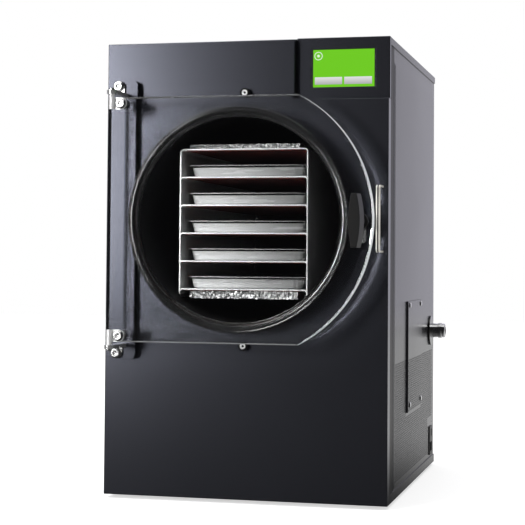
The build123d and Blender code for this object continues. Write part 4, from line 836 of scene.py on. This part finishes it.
def tile_of_holes(name, x, y, z):
    """A tile of two by two cells whose low corner is at y, z; two of the cells have a hole."""
    centre = Vector((x, y + tile / 2, z + tile / 2))
    upright = {"location": centre, "rotation": (0, pi / 2, 0)}
    bpy.ops.mesh.primitive_grid_add(x_subdivisions=4, y_subdivisions=4, size=tile, **upright)
    piece = start(name)
    for side in (-1, 1):
        hole = centre + Vector((0, side * half_cell, side * half_cell))
        pick(piece, "VERT", lambda corner: (corner.co - hole).length < touching)
        bpy.ops.mesh.dissolve_verts()
        pick(piece, "FACE", lambda face: (middle(face) - hole).length < touching)
        bpy.ops.mesh.inset(thickness=hole_margin)
        pick(piece, "VERT", lambda corner: hole_corners[0] < (corner.co - hole).length < hole_corners[1])
        bpy.ops.transform.resize(value=corner_pull, center_override=hole)
        pick(piece, "FACE", lambda face: (middle(face) - hole).length < touching)
        bpy.ops.mesh.delete(type="FACE")
        blank = centre + Vector((0, side * half_cell, -side * half_cell))
        pick(piece, "VERT", lambda corner: (corner.co - blank).length < touching)
        bpy.ops.mesh.dissolve_verts()
    close()
    return piece


def field_of_holes(name, x, y, z, columns, rows, keep_clear=()):
    """Tiles repeated along y and z, without those in the boxes (y0, y1, z0, z1)."""
    piece = tile_of_holes(name, x, y, z)
    repeats = {"use_relative_offset": False, "use_constant_offset": True}
    welding = {"use_merge_vertices": True, "merge_threshold": WELD}
    for count, offset in ((columns, (0, tile, 0)), (rows, (0, 0, tile))):
        apply_modifier(piece, "ARRAY", count=count, constant_offset_displace=offset, **repeats, **welding)
    if pick(piece, "FACE", lambda face: any(in_box(middle(face), box) for box in keep_clear)):
        bpy.ops.mesh.delete(type="FACE")
    apply_modifier(piece, "SOLIDIFY", thickness=skin_t, offset=-1)
    return piece


# %% Vent field of the side panel
panel_low, panel_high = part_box("right_side_panel")
vent_y0, vent_z0, vent_columns, vent_rows = -0.198, 0.031, 60, 26
vent_y1, vent_z1 = vent_y0 + vent_columns * tile, vent_z0 + vent_rows * tile
hatch = (vent_y0 + 16 * tile, vent_y0 + 40 * tile, vent_z0 + 13 * tile, vent_z1)
inlet = (vent_y0 + 52 * tile, vent_y1, vent_z0, vent_z0 + 9 * tile)
vents = field_of_holes("side_vents", panel_high.x, vent_y0, vent_z0, vent_columns, vent_rows, (hatch, inlet))
tiles = [
    Vector((0, vent_y0 + (column + 0.5) * tile, vent_z0 + (row + 0.5) * tile))
    for column in range(vent_columns)
    for row in range(vent_rows)
]
open_tiles = [spot for spot in tiles if not (in_box(spot, hatch) or in_box(spot, inlet))]
print("vent holes:", 2 * len(open_tiles), "vent field faces:", len(vents.data.polygons))

# %% [markdown]
# The sheet round the vents starts as one plane. Bisects mark out the raised field, an inset
# with a depth raises it, and more bisects mark the vent field, which is deleted to make room.

# %% Side sheet
field = (-0.2095, 0.245, 0.021, 0.695)
joggle = 5 * MM
field_rise = 1.5 * MM
border_x = panel_high.x - field_rise
size_y, size_z = panel_high.y - panel_low.y, panel_high.z - panel_low.z
centre = (border_x, (panel_low.y + panel_high.y) / 2, (panel_low.z + panel_high.z) / 2)
bpy.ops.mesh.primitive_plane_add(size=1, location=centre, rotation=(0, pi / 2, 0))
side = start("vented_side_panel", (size_z, size_y, 1))


def mark(piece, letter, place):
    """Cut a line across the whole piece where that coordinate has this value."""
    normal = Vector((0, 0, 0))
    normal["XYZ".index(letter)] = 1
    pick(piece, "FACE")
    bpy.ops.mesh.bisect(plane_co=normal * place, plane_no=normal)


for letter, place in zip("YYZZ", field):
    mark(side, letter, place)
pick(side, "FACE", lambda face: in_box(middle(face), field))
bpy.ops.mesh.inset(thickness=joggle, depth=field_rise)
vent_field = (vent_y0, vent_y1, vent_z0, vent_z1)
for letter, place in zip("YYZZYYZYZ", (*vent_field, *hatch[:3], inlet[0], inlet[3])):
    mark(side, letter, place)


def on_vents(face):
    spot = middle(face)
    return in_box(spot, vent_field) and not (in_box(spot, hatch) or in_box(spot, inlet))


print("vent patches cut out:", pick(side, "FACE", on_vents))
bpy.ops.mesh.delete(type="FACE")
apply_modifier(side, "SOLIDIFY", thickness=skin_t, offset=-1)
print("side sheet faces:", len(side.data.polygons))

# %% [markdown]
# The port, the mains inlet and the hatch behind the cover are cut with plain cutters, as a
# punch would. Then the sheet and the vent field are joined into one piece. The border in front
# of the raised field, which turns towards the front panel, gets the dullest paint.

# %% Punch the openings
port_low, port_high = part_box("vacuum_fitting")
inlet_low, inlet_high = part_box("power_inlet")
cover_low, cover_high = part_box("access_cover")
cover_middle = (cover_low + cover_high) / 2


def punch(piece, cutter):
    apply_modifier(piece, "BOOLEAN", operation="DIFFERENCE", solver="EXACT", object=cutter)
    bpy.data.objects.remove(cutter)


punch_depth = 20 * MM
port_radius = 19 * MM
port_middle = (port_low + port_high) / 2
port_pose = {"location": (panel_high.x, port_middle.y, port_middle.z), "rotation": (0, pi / 2, 0)}
bpy.ops.mesh.primitive_cylinder_add(vertices=48, radius=port_radius, depth=punch_depth, **port_pose)
punch(side, start("port_punch"))
for name, spot, width, height in (
    ("inlet_punch", (inlet_low + inlet_high) / 2, 28.5 * MM, 49.5 * MM),
    ("hatch_punch", cover_middle, 116 * MM, 136 * MM),
):
    bpy.ops.mesh.primitive_cube_add(size=1, location=(panel_high.x, spot.y, spot.z))
    punch(side, start(name, (punch_depth, width, height)))
select_only(side)
vents.select_set(True)
bpy.ops.object.join()
hand_over(side, satin_black, "right_side_panel", smooth=20)
side.data.materials.append(return_black.material)
for face in side.data.polygons:
    if face.normal.x > 0.9 and face.center.y < field[0]:
        face.material_index = 1
print("side panel triangles:", sum(len(face.vertices) - 2 for face in side.data.polygons))

# %% Access cover
size = cover_high - cover_low
bpy.ops.mesh.primitive_cube_add(size=1, location=cover_middle)
cover = start("vented_access_cover", size)
pick(cover, "FACE", lambda face: face.normal.x < -0.9)
bpy.ops.mesh.delete(type="FACE")
pick(cover, "EDGE", lambda edge: all(corner.co.x > cover_high.x - 1e-5 for corner in edge.verts))
bpy.ops.mesh.bevel(offset=1.4 * MM, segments=4, affect="EDGES")
cover_columns, cover_rows = 22, 12
patch_y0 = cover_middle.y - cover_columns * tile / 2
patch_z0 = vent_z1 - cover_rows * tile
patch = (patch_y0, patch_y0 + cover_columns * tile, patch_z0, vent_z1)
for letter, place in zip("YYZZ", patch):
    mark(cover, letter, place)
on_patch = lambda face: face.normal.x > 0.9 and in_box(middle(face), patch)
print("cover patches cut out:", pick(cover, "FACE", on_patch))
bpy.ops.mesh.delete(type="FACE")
apply_modifier(cover, "SOLIDIFY", thickness=1.2 * MM, offset=-1)
cover_vents = field_of_holes("cover_vents", cover_high.x, patch_y0, patch_z0, cover_columns, cover_rows)
select_only(cover)
cover_vents.select_set(True)
bpy.ops.object.join()
hand_over(cover, satin_black, "access_cover", smooth=40)
print("cover holes:", 2 * cover_columns * cover_rows)
print("cover triangles:", sum(len(face.vertices) - 2 for face in cover.data.polygons))

# %% [markdown]
# ## Screen
#
# The screen is a sheet of black glass over a lit panel. The picture is made of plain masks:
# a green field inside a black frame, two pale buttons and a ring with a dot. It glows by
# itself, so it is fed to the emission.

# %% Lit picture
screen = Finish("lit_screen", Roughness=0.14)
across, height = screen.axis("X"), screen.axis("Z")


def window(left, right, low, high):
    """A mask that is 1 inside a rectangle given in millimetres."""
    level = (height > low * MM) * (height < high * MM)
    return (across > left * MM) * (across < right * MM) * level


def disc(x, z, radius):
    """A mask that is 1 within radius of a point, in millimetres."""
    dx, dz = across - x * MM, height - z * MM
    return (dx * dx + dz * dz) < (radius * MM) ** 2


green_field = window(106.7, 204.2, 652, 711)
button_rows = (656.2, 667.8)
buttons = window(109.4, 153.0, *button_rows) + window(156.3, 200.3, *button_rows)
button_shade = height * (1 / (12 * MM)) - 656 / 12
badge_spot = (115.1, 701.3)
badge = disc(*badge_spot, 6.6) - disc(*badge_spot, 5.4) + disc(*badge_spot, 2.2)
plate = screen.blend(button_shade, (0.42, 0.43, 0.42, 1), (0.80, 0.81, 0.80, 1))
picture = screen.blend(green_field, paint(0.006), (0.156, 0.610, 0.007, 1))
picture = screen.blend(buttons, picture, plate)
picture = screen.blend(badge, picture, (0.80, 0.92, 0.74, 1))
screen.feed(Base_Color=paint(0.01), Emission_Color=picture, Emission_Strength=0.95)
glass = softened("touchscreen", 0.5, 2, screen)
print("screen faces:", len(glass.data.polygons))
